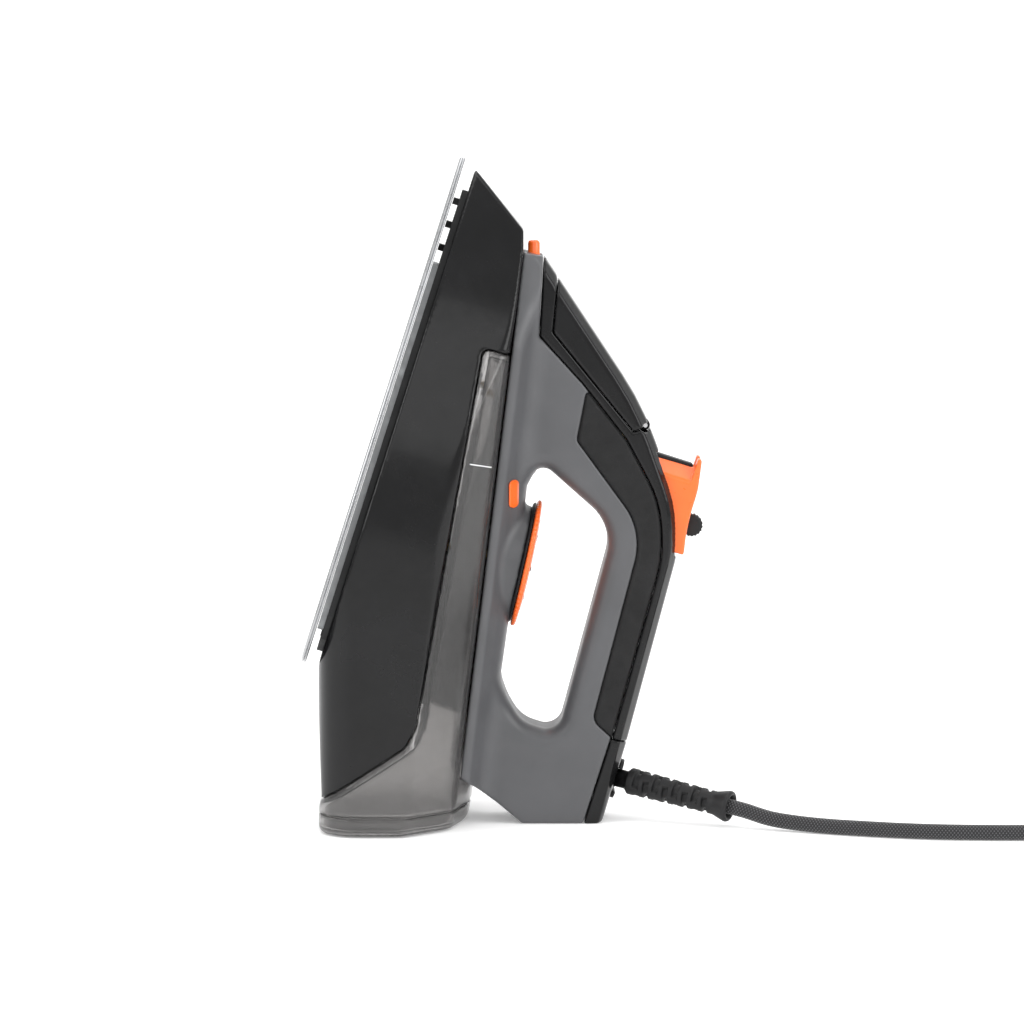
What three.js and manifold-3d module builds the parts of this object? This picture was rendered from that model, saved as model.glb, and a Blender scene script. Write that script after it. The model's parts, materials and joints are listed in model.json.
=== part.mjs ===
// A steam clothes iron that stands on its heel, with a coiled mains lead.
//
// The iron is modelled lying on its sole in its own frame, and one group stands it up on its heel:
//   x  forward along the sole, 0 at the sole's rear end
//   y  to the iron's left, 0 on its middle plane
//   z  up from the ironing face
// The row's frame has +Z up from the surface that the heel stands on, with the origin in the middle
// of the heel's foot. Lengths are millimetres.

import * as THREE from 'three';
import { mergeVertices } from 'three/addons/utils/BufferGeometryUtils.js';
import Module from 'manifold-3d';

const wasm = await Module();
wasm.setup();

// ---------------------------------------------------------------- driving dimensions
const GAP = 0.3;                   // between two pieces that touch
const SLIDE = 0.4;                 // round a piece that moves

const SOLE_LENGTH = 240;
const SOLE_HALF_WIDTH = 60;
const SOLE_WIDEST_X = 60;          // where the sole is widest
const SOLE_THICK = 2.6;

const HEEL_TILT = THREE.MathUtils.degToRad(17.7);   // between the sole and the vertical
const HEEL_BACK = 80;              // sole's rear end to the heel plane, along the sole
const FOOT_MIDDLE_Z = 64;          // height over the sole of the foot's middle
const FOOT_HALF_DEPTH = 34;
const FOOT_CORNER = 20;

const BODY_BOTTOM_Z = 8;           // lower edge of the body over the ironing face
const BODY_OVERHANG = 2;           // the body stays this much inside the sole
const PANEL_WALL = 2.4;            // black body shell
const TANK_WALL = 2;
const TANK_FLOOR_Z = 27;
const TANK_FRONT_X = 196;
const HEEL_CAP_HEIGHT = 9;

const HANDLE_FRONT_X = 208;
const HANDLE_FRONT_Z = 40.5;       // height of the handle's lower edge at the front
const HANDLE_SLOPE = -0.19;        // fall of the handle's lower edge per unit of x
const HANDLE_REAR_X = -25;
const HANDLE_HALF_WIDTH = 18;
const HANDLE_ROUND = 8;            // rounding of the handle's edges
const LOOP_CHAMFER = 6;            // chamfer round the finger loop
const HANDLE_WALL = 2.6;
const CAVITY_HALF_WIDTH = 12.4;
const SADDLE_HALF_WIDTH = 33;      // the handle's spread foot on the body
const SADDLE_HEIGHT = 13;
const GRIP_PAD = 2.8;              // thickness of a rubber grip pad
const REAR_COVER_Z = 146.5;

const LID_HINGE = new THREE.Vector2(149.3, 117.6);
const LID_PIN_RADIUS = 1;
const LID_KNUCKLE_RADIUS = 2.2;
const LID_KNUCKLE_HALF = 6;

const NECK_HALF_WIDTH = 8;
const NECK_WALL = 1.6;
const NECK_MOUTH_DEPTH = 6;        // the trough's mouth, under the lid's outer face
const NECK_PIPE_X = 163;
const NECK_PIPE_RADIUS = 5;

const DIAL_X = 71.5;
const DIAL_Z = 84.2;
const DIAL_RADIUS = 29.5;
const DIAL_THICK = 3.4;
const DIAL_TILT = THREE.MathUtils.degToRad(5);
const DIAL_SHAFT_RADIUS = 2.5;
const PEDESTAL_RADIUS = 26;

const CONSOLE_HALF_WIDTH = 12;
const CONSOLE_RIB = 3.9;           // half width of the rib between the two buttons
const BUTTON_TRAVEL = 4;
const PUMP_X = 128;
const PUMP_Y = 7.6;
const PUMP_RADIUS = 4;
const PLUNGER_RADIUS = 1.4;
const PUMP_TOP_Z = 112;
const PUMP_LENGTH = 26;
const SPRING_X = 112;
const SPRING_Y = 8.2;
const SPRING_RADIUS = 2.2;
const SPRING_WIRE = 0.4;
const SPRING_POCKET = 5;

const SLIDER_X = 111.5;
const SLIDER_RADIUS = 5.2;
const SLIDER_TRAVEL = 10;
const ROD_X = 141;
const ROD_RADIUS = 1.5;
const VALVE_RADIUS = 5;

const CLEAN_X = 102.5;             // self-clean button
const CLEAN_Z = 69.6;
const CLEAN_INNER_Y = 18;         // inner face of its cap
const CLEAN_TRAVEL = 2;
const CLEAN_RIB_Y = 4;             // face of the rib that the self-clean spring bears on
const CLEAN_SPRING_RADIUS = 1;

const SWIVEL_X = -10.9;            // pivot of the strain relief
const SWIVEL_Z = 150;
const SWIVEL_PITCH = THREE.MathUtils.degToRad(6.2);
const SWIVEL_REST = THREE.MathUtils.degToRad(24);   // swung to the iron's left
const BARREL_RADIUS = 6.4;
const BARREL_HALF = 4;
const SLOT_HALF = 5.4;             // half width of the slot that the strain relief swings in
const SOCKET_RADIUS = 8.3;
const FLANGE_RADIUS = 9.3;
const SLEEVE_NECK = 4.2;
const SLEEVE_RADIUS = 6.3;
const SLEEVE_BELL = 7.2;
const SLEEVE_LENGTH = 63.5;        // pivot to the mouth of the bell

const CORD_RADIUS = 3.5;
const COIL_CENTRE = new THREE.Vector2(346, -18.5);
const COIL_EXIT = THREE.MathUtils.degToRad(20);     // where the lead leaves the coil for its plug
const COIL_INNER = 31.6;
const COIL_OUTER = 46.4;
const COIL_HEIGHT = 28.8;
const PLUG_RADIUS = 18.4;
const PLUG_LENGTH = 34;
const PIN_RADIUS = 2.4;
const PIN_LENGTH = 19;
const PIN_SPACING = 19;

// ---------------------------------------------------------------- outlines
const ARC_STEP = Math.PI / 9;

// Points round an outline whose corners are [a, b, radius], moved out by grow (in, where negative).
function trace(corners, grow = 0) {
  const count = corners.length;
  const points = corners.map((c) => new THREE.Vector2(c[0], c[1]));
  const turn = Math.sign(THREE.ShapeUtils.area(points));
  const edges = points.map((p, i) => points[(i + 1) % count].clone().sub(p).normalize());
  const moved = points.map((p, i) => {
    const before = edges[(i + count - 1) % count];
    const after = edges[i];
    const normalA = new THREE.Vector2(before.y, -before.x).multiplyScalar(turn);
    const normalB = new THREE.Vector2(after.y, -after.x).multiplyScalar(turn);
    const scale = grow / (1 + normalA.dot(normalB));
    return p.clone().addScaledVector(normalA.add(normalB), scale);
  });
  const traced = [];
  moved.forEach((p, i) => {
    const before = edges[(i + count - 1) % count];
    const after = edges[i];
    const bend = before.cross(after) * turn;
    const angle = Math.acos(THREE.MathUtils.clamp(before.dot(after), -1, 1));
    const asked = Math.max((corners[i][2] ?? 0) + (bend > 0 ? grow : -grow), 0);
    const room = 0.49 * Math.min(
      p.distanceTo(moved[(i + count - 1) % count]),
      p.distanceTo(moved[(i + 1) % count]),
    );
    const radius = Math.min(asked, room / Math.tan(angle / 2));
    if ((corners[i][2] ?? 0) === 0 || radius < 0.2 || angle < 0.02) {
      traced.push(p);
      return;
    }
    const tangent = radius * Math.tan(angle / 2);
    const start = p.clone().addScaledVector(before, -tangent);
    const end = p.clone().addScaledVector(after, tangent);
    const inward = new THREE.Vector2(-before.y, before.x).multiplyScalar(Math.sign(before.cross(after)));
    const centre = start.clone().addScaledVector(inward, radius);
    const steps = Math.max(1, Math.round(angle / ARC_STEP));
    const from = start.clone().sub(centre);
    for (let k = 0; k <= steps; k += 1) {
      const swing = (Math.sign(before.cross(after)) * angle * k) / steps;
      traced.push(k === steps ? end : from.clone().rotateAround(new THREE.Vector2(), swing).add(centre));
    }
  });
  return traced;
}

// Height of the handle's lower edge, and the heel plane's x at a height.
const handleLineZ = (x) => HANDLE_FRONT_Z + HANDLE_SLOPE * (x - HANDLE_FRONT_X);
const heelX = (z, lift = 0) => -HEEL_BACK + z * Math.tan(HEEL_TILT) + lift / Math.cos(HEEL_TILT);

// Half width of the sole: a blunt curve to the tip, and a squared-off rear.
function soleHalfWidth(x) {
  const along = (x - SOLE_WIDEST_X) / (x < SOLE_WIDEST_X ? -SOLE_WIDEST_X : SOLE_LENGTH - SOLE_WIDEST_X);
  const shape = x < SOLE_WIDEST_X ? (1 - along ** 4) ** 0.25 : (1 - along ** 1.9) ** 0.9;
  return SOLE_HALF_WIDTH * shape;
}

// The sole's plan as points, inset all round, from the rear (x = rear) to the front (x = front).
function solePlan(inset, rear = 0, front = SOLE_LENGTH) {
  const steps = 14;
  const side = [];
  for (let i = 0; i <= steps; i += 1) {
    const across = (1 - Math.cos((Math.PI * i) / steps)) / 2;
    const x = across * SOLE_LENGTH;
    side.push(new THREE.Vector2(x, soleHalfWidth(x)));
  }
  const shrunk = side.map((p, i) => {
    const next = side[Math.min(i + 1, steps)];
    const last = side[Math.max(i - 1, 0)];
    const normal = new THREE.Vector2(last.y - next.y, next.x - last.x).normalize();
    return p.clone().addScaledVector(normal, -inset);
  });
  const kept = shrunk.filter((p) => p.x > rear && p.x < front && p.y > 0.5);
  const interpolate = (x) => {
    const i = shrunk.findIndex((p) => p.x >= x);
    if (i < 1) return 0;
    const span = (x - shrunk[i - 1].x) / (shrunk[i].x - shrunk[i - 1].x);
    return THREE.MathUtils.lerp(shrunk[i - 1].y, shrunk[i].y, span);
  };
  const half = kept.slice();
  if (rear > shrunk[0].x && interpolate(rear) > 0.5) {
    half.unshift(new THREE.Vector2(rear, interpolate(rear)));
  }
  if (front < SOLE_LENGTH && interpolate(front) > 0.5) {
    half.push(new THREE.Vector2(front, interpolate(front)));
  } else {
    half.push(new THREE.Vector2(Math.min(front, SOLE_LENGTH - 2 * inset), 0));
  }
  const mirrored = half.filter((p) => p.y > 0).reverse().map((p) => new THREE.Vector2(p.x, -p.y));
  return half.concat(mirrored);
}

// The body's side view, from the nose round over the top to the heel.
const BODY_SIDE = [
  [0, BODY_BOTTOM_Z, 0],
  [SOLE_LENGTH - 3, BODY_BOTTOM_Z, 1],
  [217.5, 37.5, 3],
  [HANDLE_FRONT_X, handleLineZ(HANDLE_FRONT_X), 0],
  [-18, handleLineZ(-18), 0],
  [-30, 95, 8],
  [heelX(96), 96, 6],
  [heelX(28), 28, 6],
  [-53, 27.5, 2],
];

// The edge between the black panel and the smoky rim of the tank, with the window above it.
const WINDOW_SIDE = [
  [162.5, 36, 3],
  [163.5, 70, 0],
  [60, 140, 0],
  [-140, 140, 0],
  [-140, 0, 0],
  [-76, 10, 0],
  [-18.5, 57, 9],
  [-8, 58.6, 9],
  [70, 48, 120],
];

const HANDLE_SIDE = [
  [HANDLE_FRONT_X, HANDLE_FRONT_Z, 0],
  [HANDLE_FRONT_X + 1, 50.5, 0],
  [158, 114, 140],
  [119, 143.5, 60],
  [98, 150, 40],
  [8, 154.5, 0],
  [heelX(154.5), 154.5, 0],
  [heelX(119.5), 119.5, 0],
  [HANDLE_REAR_X - 3, handleLineZ(HANDLE_REAR_X - 3), 0],
];

// Where the handle stands on the body: along its lower edge, and up its rear.
const SADDLE_SIDE = [
  [HANDLE_REAR_X - 3, handleLineZ(HANDLE_REAR_X - 3), 0],
  [HANDLE_FRONT_X, HANDLE_FRONT_Z, 0],
  [HANDLE_FRONT_X, 160, 0],
  [heelX(160), 160, 0],
  [heelX(119.5), 119.5, 0],
];

// The line of the handle's back, carried past its ends.
const HANDLE_BACK = [
  [232, 22, 0],
  [158, 114, 140],
  [119, 143.5, 60],
  [98, 150, 40],
  [8, 154.5, 0],
  [-70, 158.5, 0],
  [-70, 20, 0],
];

const FINGER_LOOP = [
  [119, 77.5, 7],
  [107, 73.2, 3],
  [100, 74.6, 0],
  [17, 88.5, 14],
  [2.3, 105, 16],
  [2.2, 122.7, 8],
  [101, 118, 22],
];

// The body's roof across the iron, in height over the handle's lower edge.
const ROOF_SECTION = [
  [-70, -200, 0],
  [70, -200, 0],
  [70, -34, 0],
  [57, -22, 12],
  [SADDLE_HALF_WIDTH + 5, -1.5, 18],
  [0, 7, 60],
  [-SADDLE_HALF_WIDTH - 5, -1.5, 18],
  [-57, -22, 12],
  [-70, -34, 0],
];

// Everything above this edge belongs to the black covers.
const COVER_SIDE = [
  [240, 42, 0],
  [174, 59, 0],
  [159.5, 84.3, 0],
  [141, 111.5, 0],
  [119, 134, 50],
  [96, 143.3, 60],
  [8, 147, 0],
  [-100, 147, 0],
  [-100, 220, 0],
  [240, 220, 0],
];

const GRIP_SIDE = [
  [157, 86.9, 0],
  [133.8, 89.6, 4],
  [103.5, 131, 30],
  [13.5, 135.8, 6],
  [8.5, 146.6, 0],
  [96, 142.9, 60],
  [118.6, 133.6, 50],
  [140.6, 111.2, 0],
];

const LID_SIDE = [
  [202.5, 59, 0],
  [177.5, 64.4, 2],
  [145.6, 113, 0],
  [LID_HINGE.x, LID_HINGE.y, 0],
  [158, 125.3, 0],
  [230, 90, 0],
];

// ---------------------------------------------------------------- solids
function solid(geometry) {
  const bare = geometry.clone();
  bare.deleteAttribute('normal');
  bare.deleteAttribute('uv');
  const merged = mergeVertices(bare, 1e-4);
  return new wasm.Manifold(new wasm.Mesh({
    numProp: 3,
    vertProperties: new Float32Array(merged.attributes.position.array),
    triVerts: new Uint32Array(merged.index.array),
  }));
}

// A plate of the given outline in the side view, between two values of y.
function sideSlab(points, yLow, yHigh) {
  const plate = new THREE.ExtrudeGeometry(new THREE.Shape(points), {
    depth: yHigh - yLow,
    bevelEnabled: false,
  });
  plate.rotateX(Math.PI / 2);
  plate.translate(0, yHigh, 0);
  return solid(plate);
}

// The same in plan, between two heights.
function planSlab(points, zLow, zHigh) {
  const plate = new THREE.ExtrudeGeometry(new THREE.Shape(points), {
    depth: zHigh - zLow,
    bevelEnabled: false,
  });
  plate.translate(0, 0, zLow);
  return solid(plate);
}

// A box from its lowest to its highest corner.
function block(x0, x1, y0, y1, z0, z1) {
  const box = new THREE.BoxGeometry(x1 - x0, y1 - y0, z1 - z0);
  box.translate((x0 + x1) / 2, (y0 + y1) / 2, (z0 + z1) / 2);
  return solid(box);
}

// A cylinder between two points.
function rod(from, to, radius, sides = 16) {
  const along = to.clone().sub(from);
  const cylinder = new THREE.CylinderGeometry(radius, radius, along.length(), sides);
  cylinder.applyQuaternion(new THREE.Quaternion().setFromUnitVectors(
    new THREE.Vector3(0, 1, 0),
    along.clone().normalize(),
  ));
  const middle = from.clone().add(to).multiplyScalar(0.5);
  cylinder.translate(middle.x, middle.y, middle.z);
  return solid(cylinder);
}

// A turned piece: profile of [radius, height] from base along aim.
function turned(profile, base, aim, sides = 20) {
  const lathe = new THREE.LatheGeometry(profile.map((p) => new THREE.Vector2(p[0], p[1])), sides);
  lathe.applyQuaternion(new THREE.Quaternion().setFromUnitVectors(
    new THREE.Vector3(0, 1, 0),
    aim.clone().normalize(),
  ));
  lathe.translate(base.x, base.y, base.z);
  return solid(lathe);
}

// A round tube carried along a curve.
function carried(curve, radius, sides, steps) {
  const section = new THREE.Shape();
  section.absarc(0, 0, radius, 0, 2 * Math.PI, false);
  const points = section.getSpacedPoints(sides).slice(0, sides);
  return solid(new THREE.ExtrudeGeometry(new THREE.Shape(points), {
    steps,
    extrudePath: curve,
    bevelEnabled: false,
  }));
}

const point = (x, y, z) => new THREE.Vector3(x, y, z);

// ---------------------------------------------------------------- shared forms
// The standing frame: iron coordinates to the row's frame.
const standUp = new THREE.Matrix4().makeBasis(
  point(Math.sin(HEEL_TILT), 0, Math.cos(HEEL_TILT)),
  point(0, -1, 0),
  point(Math.cos(HEEL_TILT), 0, -Math.sin(HEEL_TILT)),
);
const footMiddle = point(heelX(FOOT_MIDDLE_Z), 0, FOOT_MIDDLE_Z);
standUp.setPosition(footMiddle.clone().applyMatrix4(standUp).negate());
const layDown = standUp.clone().invert();

// The whole body of shell and tank, inset all round: side view, plan, crowned roof and rounded heel.
function bodyForm(inset) {
  const side = sideSlab(trace(BODY_SIDE, -inset), -SOLE_HALF_WIDTH, SOLE_HALF_WIDTH);
  const edge = SOLE_HALF_WIDTH - BODY_OVERHANG - inset;
  const nose = solePlan(BODY_OVERHANG + inset, SOLE_WIDEST_X);
  const rear = [new THREE.Vector2(-140, -edge), new THREE.Vector2(-140, edge)];
  const plan = planSlab(rear.concat(nose), -10, 130);
  const roof = new THREE.ExtrudeGeometry(new THREE.Shape(trace(ROOF_SECTION, -inset)), {
    depth: 400,
    bevelEnabled: false,
  });
  roof.applyMatrix4(new THREE.Matrix4().makeBasis(point(0, 1, 0), point(0, 0, 1), point(1, 0, HANDLE_SLOPE)));
  roof.translate(-140, 0, handleLineZ(-140));
  return side.intersect(plan).intersect(solid(roof)).intersect(heelPrism(inset, -5, 420));
}

// The heel's rounded plan, as an upright prism between two heights over the standing surface.
function heelPrism(inset, low, high) {
  const edge = SOLE_HALF_WIDTH - BODY_OVERHANG;
  const corners = [
    [-FOOT_HALF_DEPTH, -edge, FOOT_CORNER],
    [400, -edge, 0],
    [400, edge, 0],
    [-FOOT_HALF_DEPTH, edge, FOOT_CORNER],
  ];
  const prism = new THREE.ExtrudeGeometry(new THREE.Shape(trace(corners, -inset)), {
    depth: high - low,
    bevelEnabled: false,
  });
  prism.translate(0, 0, low);
  prism.applyMatrix4(layDown);
  return solid(prism);
}

// The whole handle with its finger loop, its long edges rounded off.
function handleForm() {
  const depth = 2 * (HANDLE_HALF_WIDTH - HANDLE_ROUND);
  const rounded = new THREE.ExtrudeGeometry(new THREE.Shape(trace(HANDLE_BACK)), {
    depth,
    bevelThickness: HANDLE_ROUND,
    bevelSize: HANDLE_ROUND,
    bevelOffset: -HANDLE_ROUND,
    bevelSegments: 2,
  });
  rounded.rotateX(Math.PI / 2);
  rounded.translate(0, depth / 2, 0);
  let form = solid(rounded).intersect(sideSlab(trace(HANDLE_SIDE), -HANDLE_HALF_WIDTH, HANDLE_HALF_WIDTH));
  form = form.subtract(sideSlab(trace(FINGER_LOOP), -HANDLE_HALF_WIDTH - 1, HANDLE_HALF_WIDTH + 1));
  for (const side of [-1, 1]) {
    const flare = new THREE.ExtrudeGeometry(new THREE.Shape(trace(FINGER_LOOP, LOOP_CHAMFER)), {
      depth: 4,
      bevelThickness: LOOP_CHAMFER,
      bevelSize: LOOP_CHAMFER,
      bevelOffset: -LOOP_CHAMFER,
      bevelSegments: 1,
    });
    flare.rotateX(Math.PI / 2);
    flare.translate(0, side > 0 ? HANDLE_HALF_WIDTH + 4 : -HANDLE_HALF_WIDTH, 0);
    form = form.subtract(solid(flare));
  }
  return form;
}

// The spread foot of the handle on the body, before the loop is cut.
function saddleForm(inset) {
  const half = (x) => Math.min(SADDLE_HALF_WIDTH, soleHalfWidth(x + 10) - 3) - inset;
  const stations = [-42, 0, 60, 120, 150, 175, 195, HANDLE_FRONT_X];
  const upper = stations.map((x) => new THREE.Vector2(x, half(Math.max(x, SOLE_WIDEST_X))));
  const lower = upper.slice().reverse().map((p) => new THREE.Vector2(p.x, -p.y));
  const plan = planSlab(upper.concat(lower), 20, 130);
  const section = trace([
    [-SADDLE_HALF_WIDTH - 4, -20, 0],
    [SADDLE_HALF_WIDTH + 4, -20, 0],
    [SADDLE_HALF_WIDTH + 1, 2, 3],
    [HANDLE_HALF_WIDTH, SADDLE_HEIGHT, 10],
    [-HANDLE_HALF_WIDTH, SADDLE_HEIGHT, 10],
    [-SADDLE_HALF_WIDTH - 1, 2, 3],
  ], -inset);
  const run = new THREE.ExtrudeGeometry(new THREE.Shape(section), { depth: 260, bevelEnabled: false });
  run.applyMatrix4(new THREE.Matrix4().makeBasis(point(0, 1, 0), point(0, 0, 1), point(1, 0, HANDLE_SLOPE)));
  run.translate(-45, 0, handleLineZ(-45));
  const heel = sideSlab(trace(SADDLE_SIDE, -inset), -SADDLE_HALF_WIDTH - 5, SADDLE_HALF_WIDTH + 5);
  return plan.intersect(solid(run)).intersect(heel);
}

const DIAL_AIM = point(Math.sin(DIAL_TILT), 0, Math.cos(DIAL_TILT));
const dialPoint = (up) => point(DIAL_X, 0, DIAL_Z).addScaledVector(DIAL_AIM, up);
const THERMOSTAT_TOP_Z = 24;
const THERMOSTAT_RADIUS = 11;
const shaftDrop = (DIAL_Z - THERMOSTAT_TOP_Z) / Math.cos(DIAL_TILT);
const thermostatX = dialPoint(-shaftDrop).x;

const CASTING_INSET = 13;
const CASTING_LOW_Z = SOLE_THICK + GAP;
const CASTING_TOP_Z = 13;
const COVER_PLATE = 1.4;
const SHIELD_LOW_Z = CASTING_TOP_Z + COVER_PLATE + 2 * GAP;
const SHIELD_THICK = 2;
const ELEMENT_RADIUS = 3.2;
const ELEMENT_Z = 8.3;

const consoleTopZ = (x) => 153.9 - 0.182 * (x - 104.5);

// ---------------------------------------------------------------- the group
const row = new THREE.Group();
const iron = new THREE.Group();
iron.applyMatrix4(standUp);
row.add(iron);

const FINISH = {
  aluminium: { color: 0xb9bbbd, roughness: 0.32, metalness: 1 },
  steel: { color: 0x9c9ea0, roughness: 0.3, metalness: 1 },
  brass: { color: 0xb08a4a, roughness: 0.35, metalness: 1 },
  blackGloss: { color: 0x141414, roughness: 0.2, metalness: 0 },
  blackSatin: { color: 0x1b1b1c, roughness: 0.5, metalness: 0 },
  grey: { color: 0x55565a, roughness: 0.38, metalness: 0 },
  orange: { color: 0xf2601a, roughness: 0.35, metalness: 0 },
  smoke: { color: 0x6f7378, roughness: 0.12, metalness: 0, transparent: true, opacity: 0.5 },
  rubber: { color: 0x1a1a1a, roughness: 0.8, metalness: 0 },
  ceramic: { color: 0xd9d4c8, roughness: 0.6, metalness: 0 },
  textile: { color: 0x3a3a3c, roughness: 0.9, metalness: 0 },
};

function geometryOf(shape) {
  const mesh = shape.getMesh();
  const geometry = new THREE.BufferGeometry();
  geometry.setAttribute('position', new THREE.BufferAttribute(mesh.vertProperties.slice(), 3));
  geometry.setIndex(new THREE.BufferAttribute(mesh.triVerts.slice(), 1));
  const faceted = geometry.toNonIndexed();
  faceted.computeVertexNormals();
  return faceted;
}

// Adds a solid to a group as a named mesh in one of the finishes.
function add(group, name, shape, finish) {
  const mesh = new THREE.Mesh(geometryOf(shape), new THREE.MeshStandardMaterial(FINISH[finish]));
  mesh.name = name;
  group.add(mesh);
}

// ---------------------------------------------------------------- sole, casting and heat shield
function makeSole() {
  let plate = planSlab(solePlan(0), 0, SOLE_THICK);
  const rim = planSlab(solePlan(1.2), -1, 0.8);
  plate = plate.subtract(planSlab(solePlan(0), -1, 0.8).subtract(rim));
  for (let i = 0; i < 9; i += 1) {
    const x = 30 + 21 * i;
    const y = soleHalfWidth(x) * 0.62;
    for (const side of [-1, 1]) {
      const hole = rod(point(x, side * y, -1), point(x, side * y, SOLE_THICK + 1), 1.6, 6);
      plate = plate.subtract(hole);
    }
  }
  add(iron, 'soleplate', plate, 'aluminium');
}

function elementCurve() {
  const path = new THREE.CurvePath();
  const half = [[14, 24], [92, 27], [150, 12]];
  const a = half.map((p) => point(p[0], -p[1], ELEMENT_Z));
  const b = half.map((p) => point(p[0], p[1], ELEMENT_Z)).reverse();
  path.add(new THREE.LineCurve3(a[0], a[1]));
  path.add(new THREE.QuadraticBezierCurve3(a[1], point(125, -25, ELEMENT_Z), a[2]));
  path.add(new THREE.QuadraticBezierCurve3(a[2], point(166, 0, ELEMENT_Z), b[0]));
  path.add(new THREE.QuadraticBezierCurve3(b[0], point(125, 25, ELEMENT_Z), b[1]));
  path.add(new THREE.LineCurve3(b[1], b[2]));
  return path;
}

const SCREW_SPOTS = [[34, 42], [34, -42], [177, 0]];
const SHIELD_SCREW_RADIUS = 1.8;

function makeCasting() {
  let casting = planSlab(solePlan(CASTING_INSET, 19, 190), CASTING_LOW_Z, CASTING_TOP_Z);
  const groove = carried(elementCurve(), ELEMENT_RADIUS + SLIDE, 8, 36);
  casting = casting.subtract(groove);
  for (const [x, y] of SCREW_SPOTS) {
    casting = casting.subtract(rod(point(x, y, 5), point(x, y, 20), SHIELD_SCREW_RADIUS + GAP, 10));
  }
  add(iron, 'steam_casting', casting, 'aluminium');
  add(iron, 'heating_element', carried(elementCurve(), ELEMENT_RADIUS, 8, 36), 'steel');
}

// The plate over the steam chamber, with the thermostat and the thermal fuse that stand on it.
function makeChamber() {
  const low = CASTING_TOP_Z + GAP;
  const plate = planSlab(solePlan(CASTING_INSET + 10, 22, 168), low, low + COVER_PLATE);
  add(iron, 'steam_chamber_cover', plate, 'aluminium');
  const base = low + COVER_PLATE + GAP;
  const foot = point(thermostatX, 0, base);
  const atHeight = (z) => point(thermostatX, 0, z);
  const body = rod(foot, atHeight(THERMOSTAT_TOP_Z - 4), THERMOSTAT_RADIUS, 16)
    .add(rod(atHeight(THERMOSTAT_TOP_Z - 5), atHeight(THERMOSTAT_TOP_Z - GAP), 5, 12));
  add(iron, 'thermostat', body, 'ceramic');
  const fuseLow = point(22, -9, base + 3);
  const fuseHigh = point(22, 9, base + 3);
  const fuse = rod(fuseLow, fuseHigh, 2.6, 10).add(block(20, 24, -8, 8, base, base + 2));
  add(iron, 'thermal_fuse', fuse, 'ceramic');
}

function makeHeatShield() {
  const high = SHIELD_LOW_Z + SHIELD_THICK;
  const skirtInset = BODY_OVERHANG + PANEL_WALL + 2;
  let shield = planSlab(solePlan(skirtInset, 3, 226), SHIELD_LOW_Z, high);
  const skirt = planSlab(solePlan(skirtInset, 3, 226), BODY_BOTTOM_Z - 2.5, high);
  shield = shield.add(skirt.subtract(planSlab(solePlan(skirtInset + 2, 5, 216), 0, SHIELD_LOW_Z)));
  const opening = THERMOSTAT_RADIUS + 2;
  shield = shield.subtract(rod(point(thermostatX, 0, 10), point(thermostatX, 0, 30), opening, 16));
  shield = shield.subtract(block(16, 28, -12, 12, 10, 30));
  for (const x of [198, 209, 220]) {
    const post = block(x - 1.5, x + 1.5, -3, 3, SOLE_THICK + GAP, SHIELD_LOW_Z + 1);
    shield = shield.add(post);
  }
  for (const [x, y] of SCREW_SPOTS) {
    shield = shield.subtract(rod(point(x, y, 5), point(x, y, 30), SHIELD_SCREW_RADIUS + GAP, 10));
  }
  add(iron, 'heat_shield', shield, 'blackSatin');
  SCREW_SPOTS.forEach(([x, y], i) => {
    const shank = rod(point(x, y, 6), point(x, y, high + 1), SHIELD_SCREW_RADIUS, 8);
    const head = rod(point(x, y, high + GAP), point(x, y, high + GAP + 2), 3.4, 12);
    add(iron, `shield_screw_${i + 1}`, shank.add(head), 'steel');
  });
}

// ---------------------------------------------------------------- body shell and tank
const TANK_INSET = PANEL_WALL + GAP;

function windowSlab(grow) {
  return sideSlab(trace(WINDOW_SIDE, grow), -SOLE_HALF_WIDTH - 5, SOLE_HALF_WIDTH + 5);
}

// A hollow's shape for the tank: the body's inside, over the tank's floor and behind its front wall.
function tankForm(inset, wall) {
  const floor = TANK_FLOOR_Z + wall;
  const keep = sideSlab(trace([
    [TANK_FRONT_X - wall, floor, 0],
    [TANK_FRONT_X - wall, 130, 0],
    [-140, 130, 0],
    [-140, -20 + wall, 0],
    [-52, -20 + wall, 0],
    [-38 + wall, floor, 0],
  ]), -SOLE_HALF_WIDTH, SOLE_HALF_WIDTH);
  return bodyForm(inset + wall).intersect(keep);
}

const saddleGap = () => sideSlab(trace(SADDLE_SIDE, GAP), -SOLE_HALF_WIDTH, SOLE_HALF_WIDTH);

const shaftTunnel = (radius) => rod(dialPoint(-75), dialPoint(5), radius, 12);
const neckPipe = (grow, low, high) => rod(
  point(NECK_PIPE_X, 0, low),
  point(NECK_PIPE_X, 0, high),
  NECK_PIPE_RADIUS + NECK_WALL + grow,
);
const valveTunnel = (radius) => rod(point(ROD_X, 0, 18), point(ROD_X, 0, 100), radius, 12);

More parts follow.
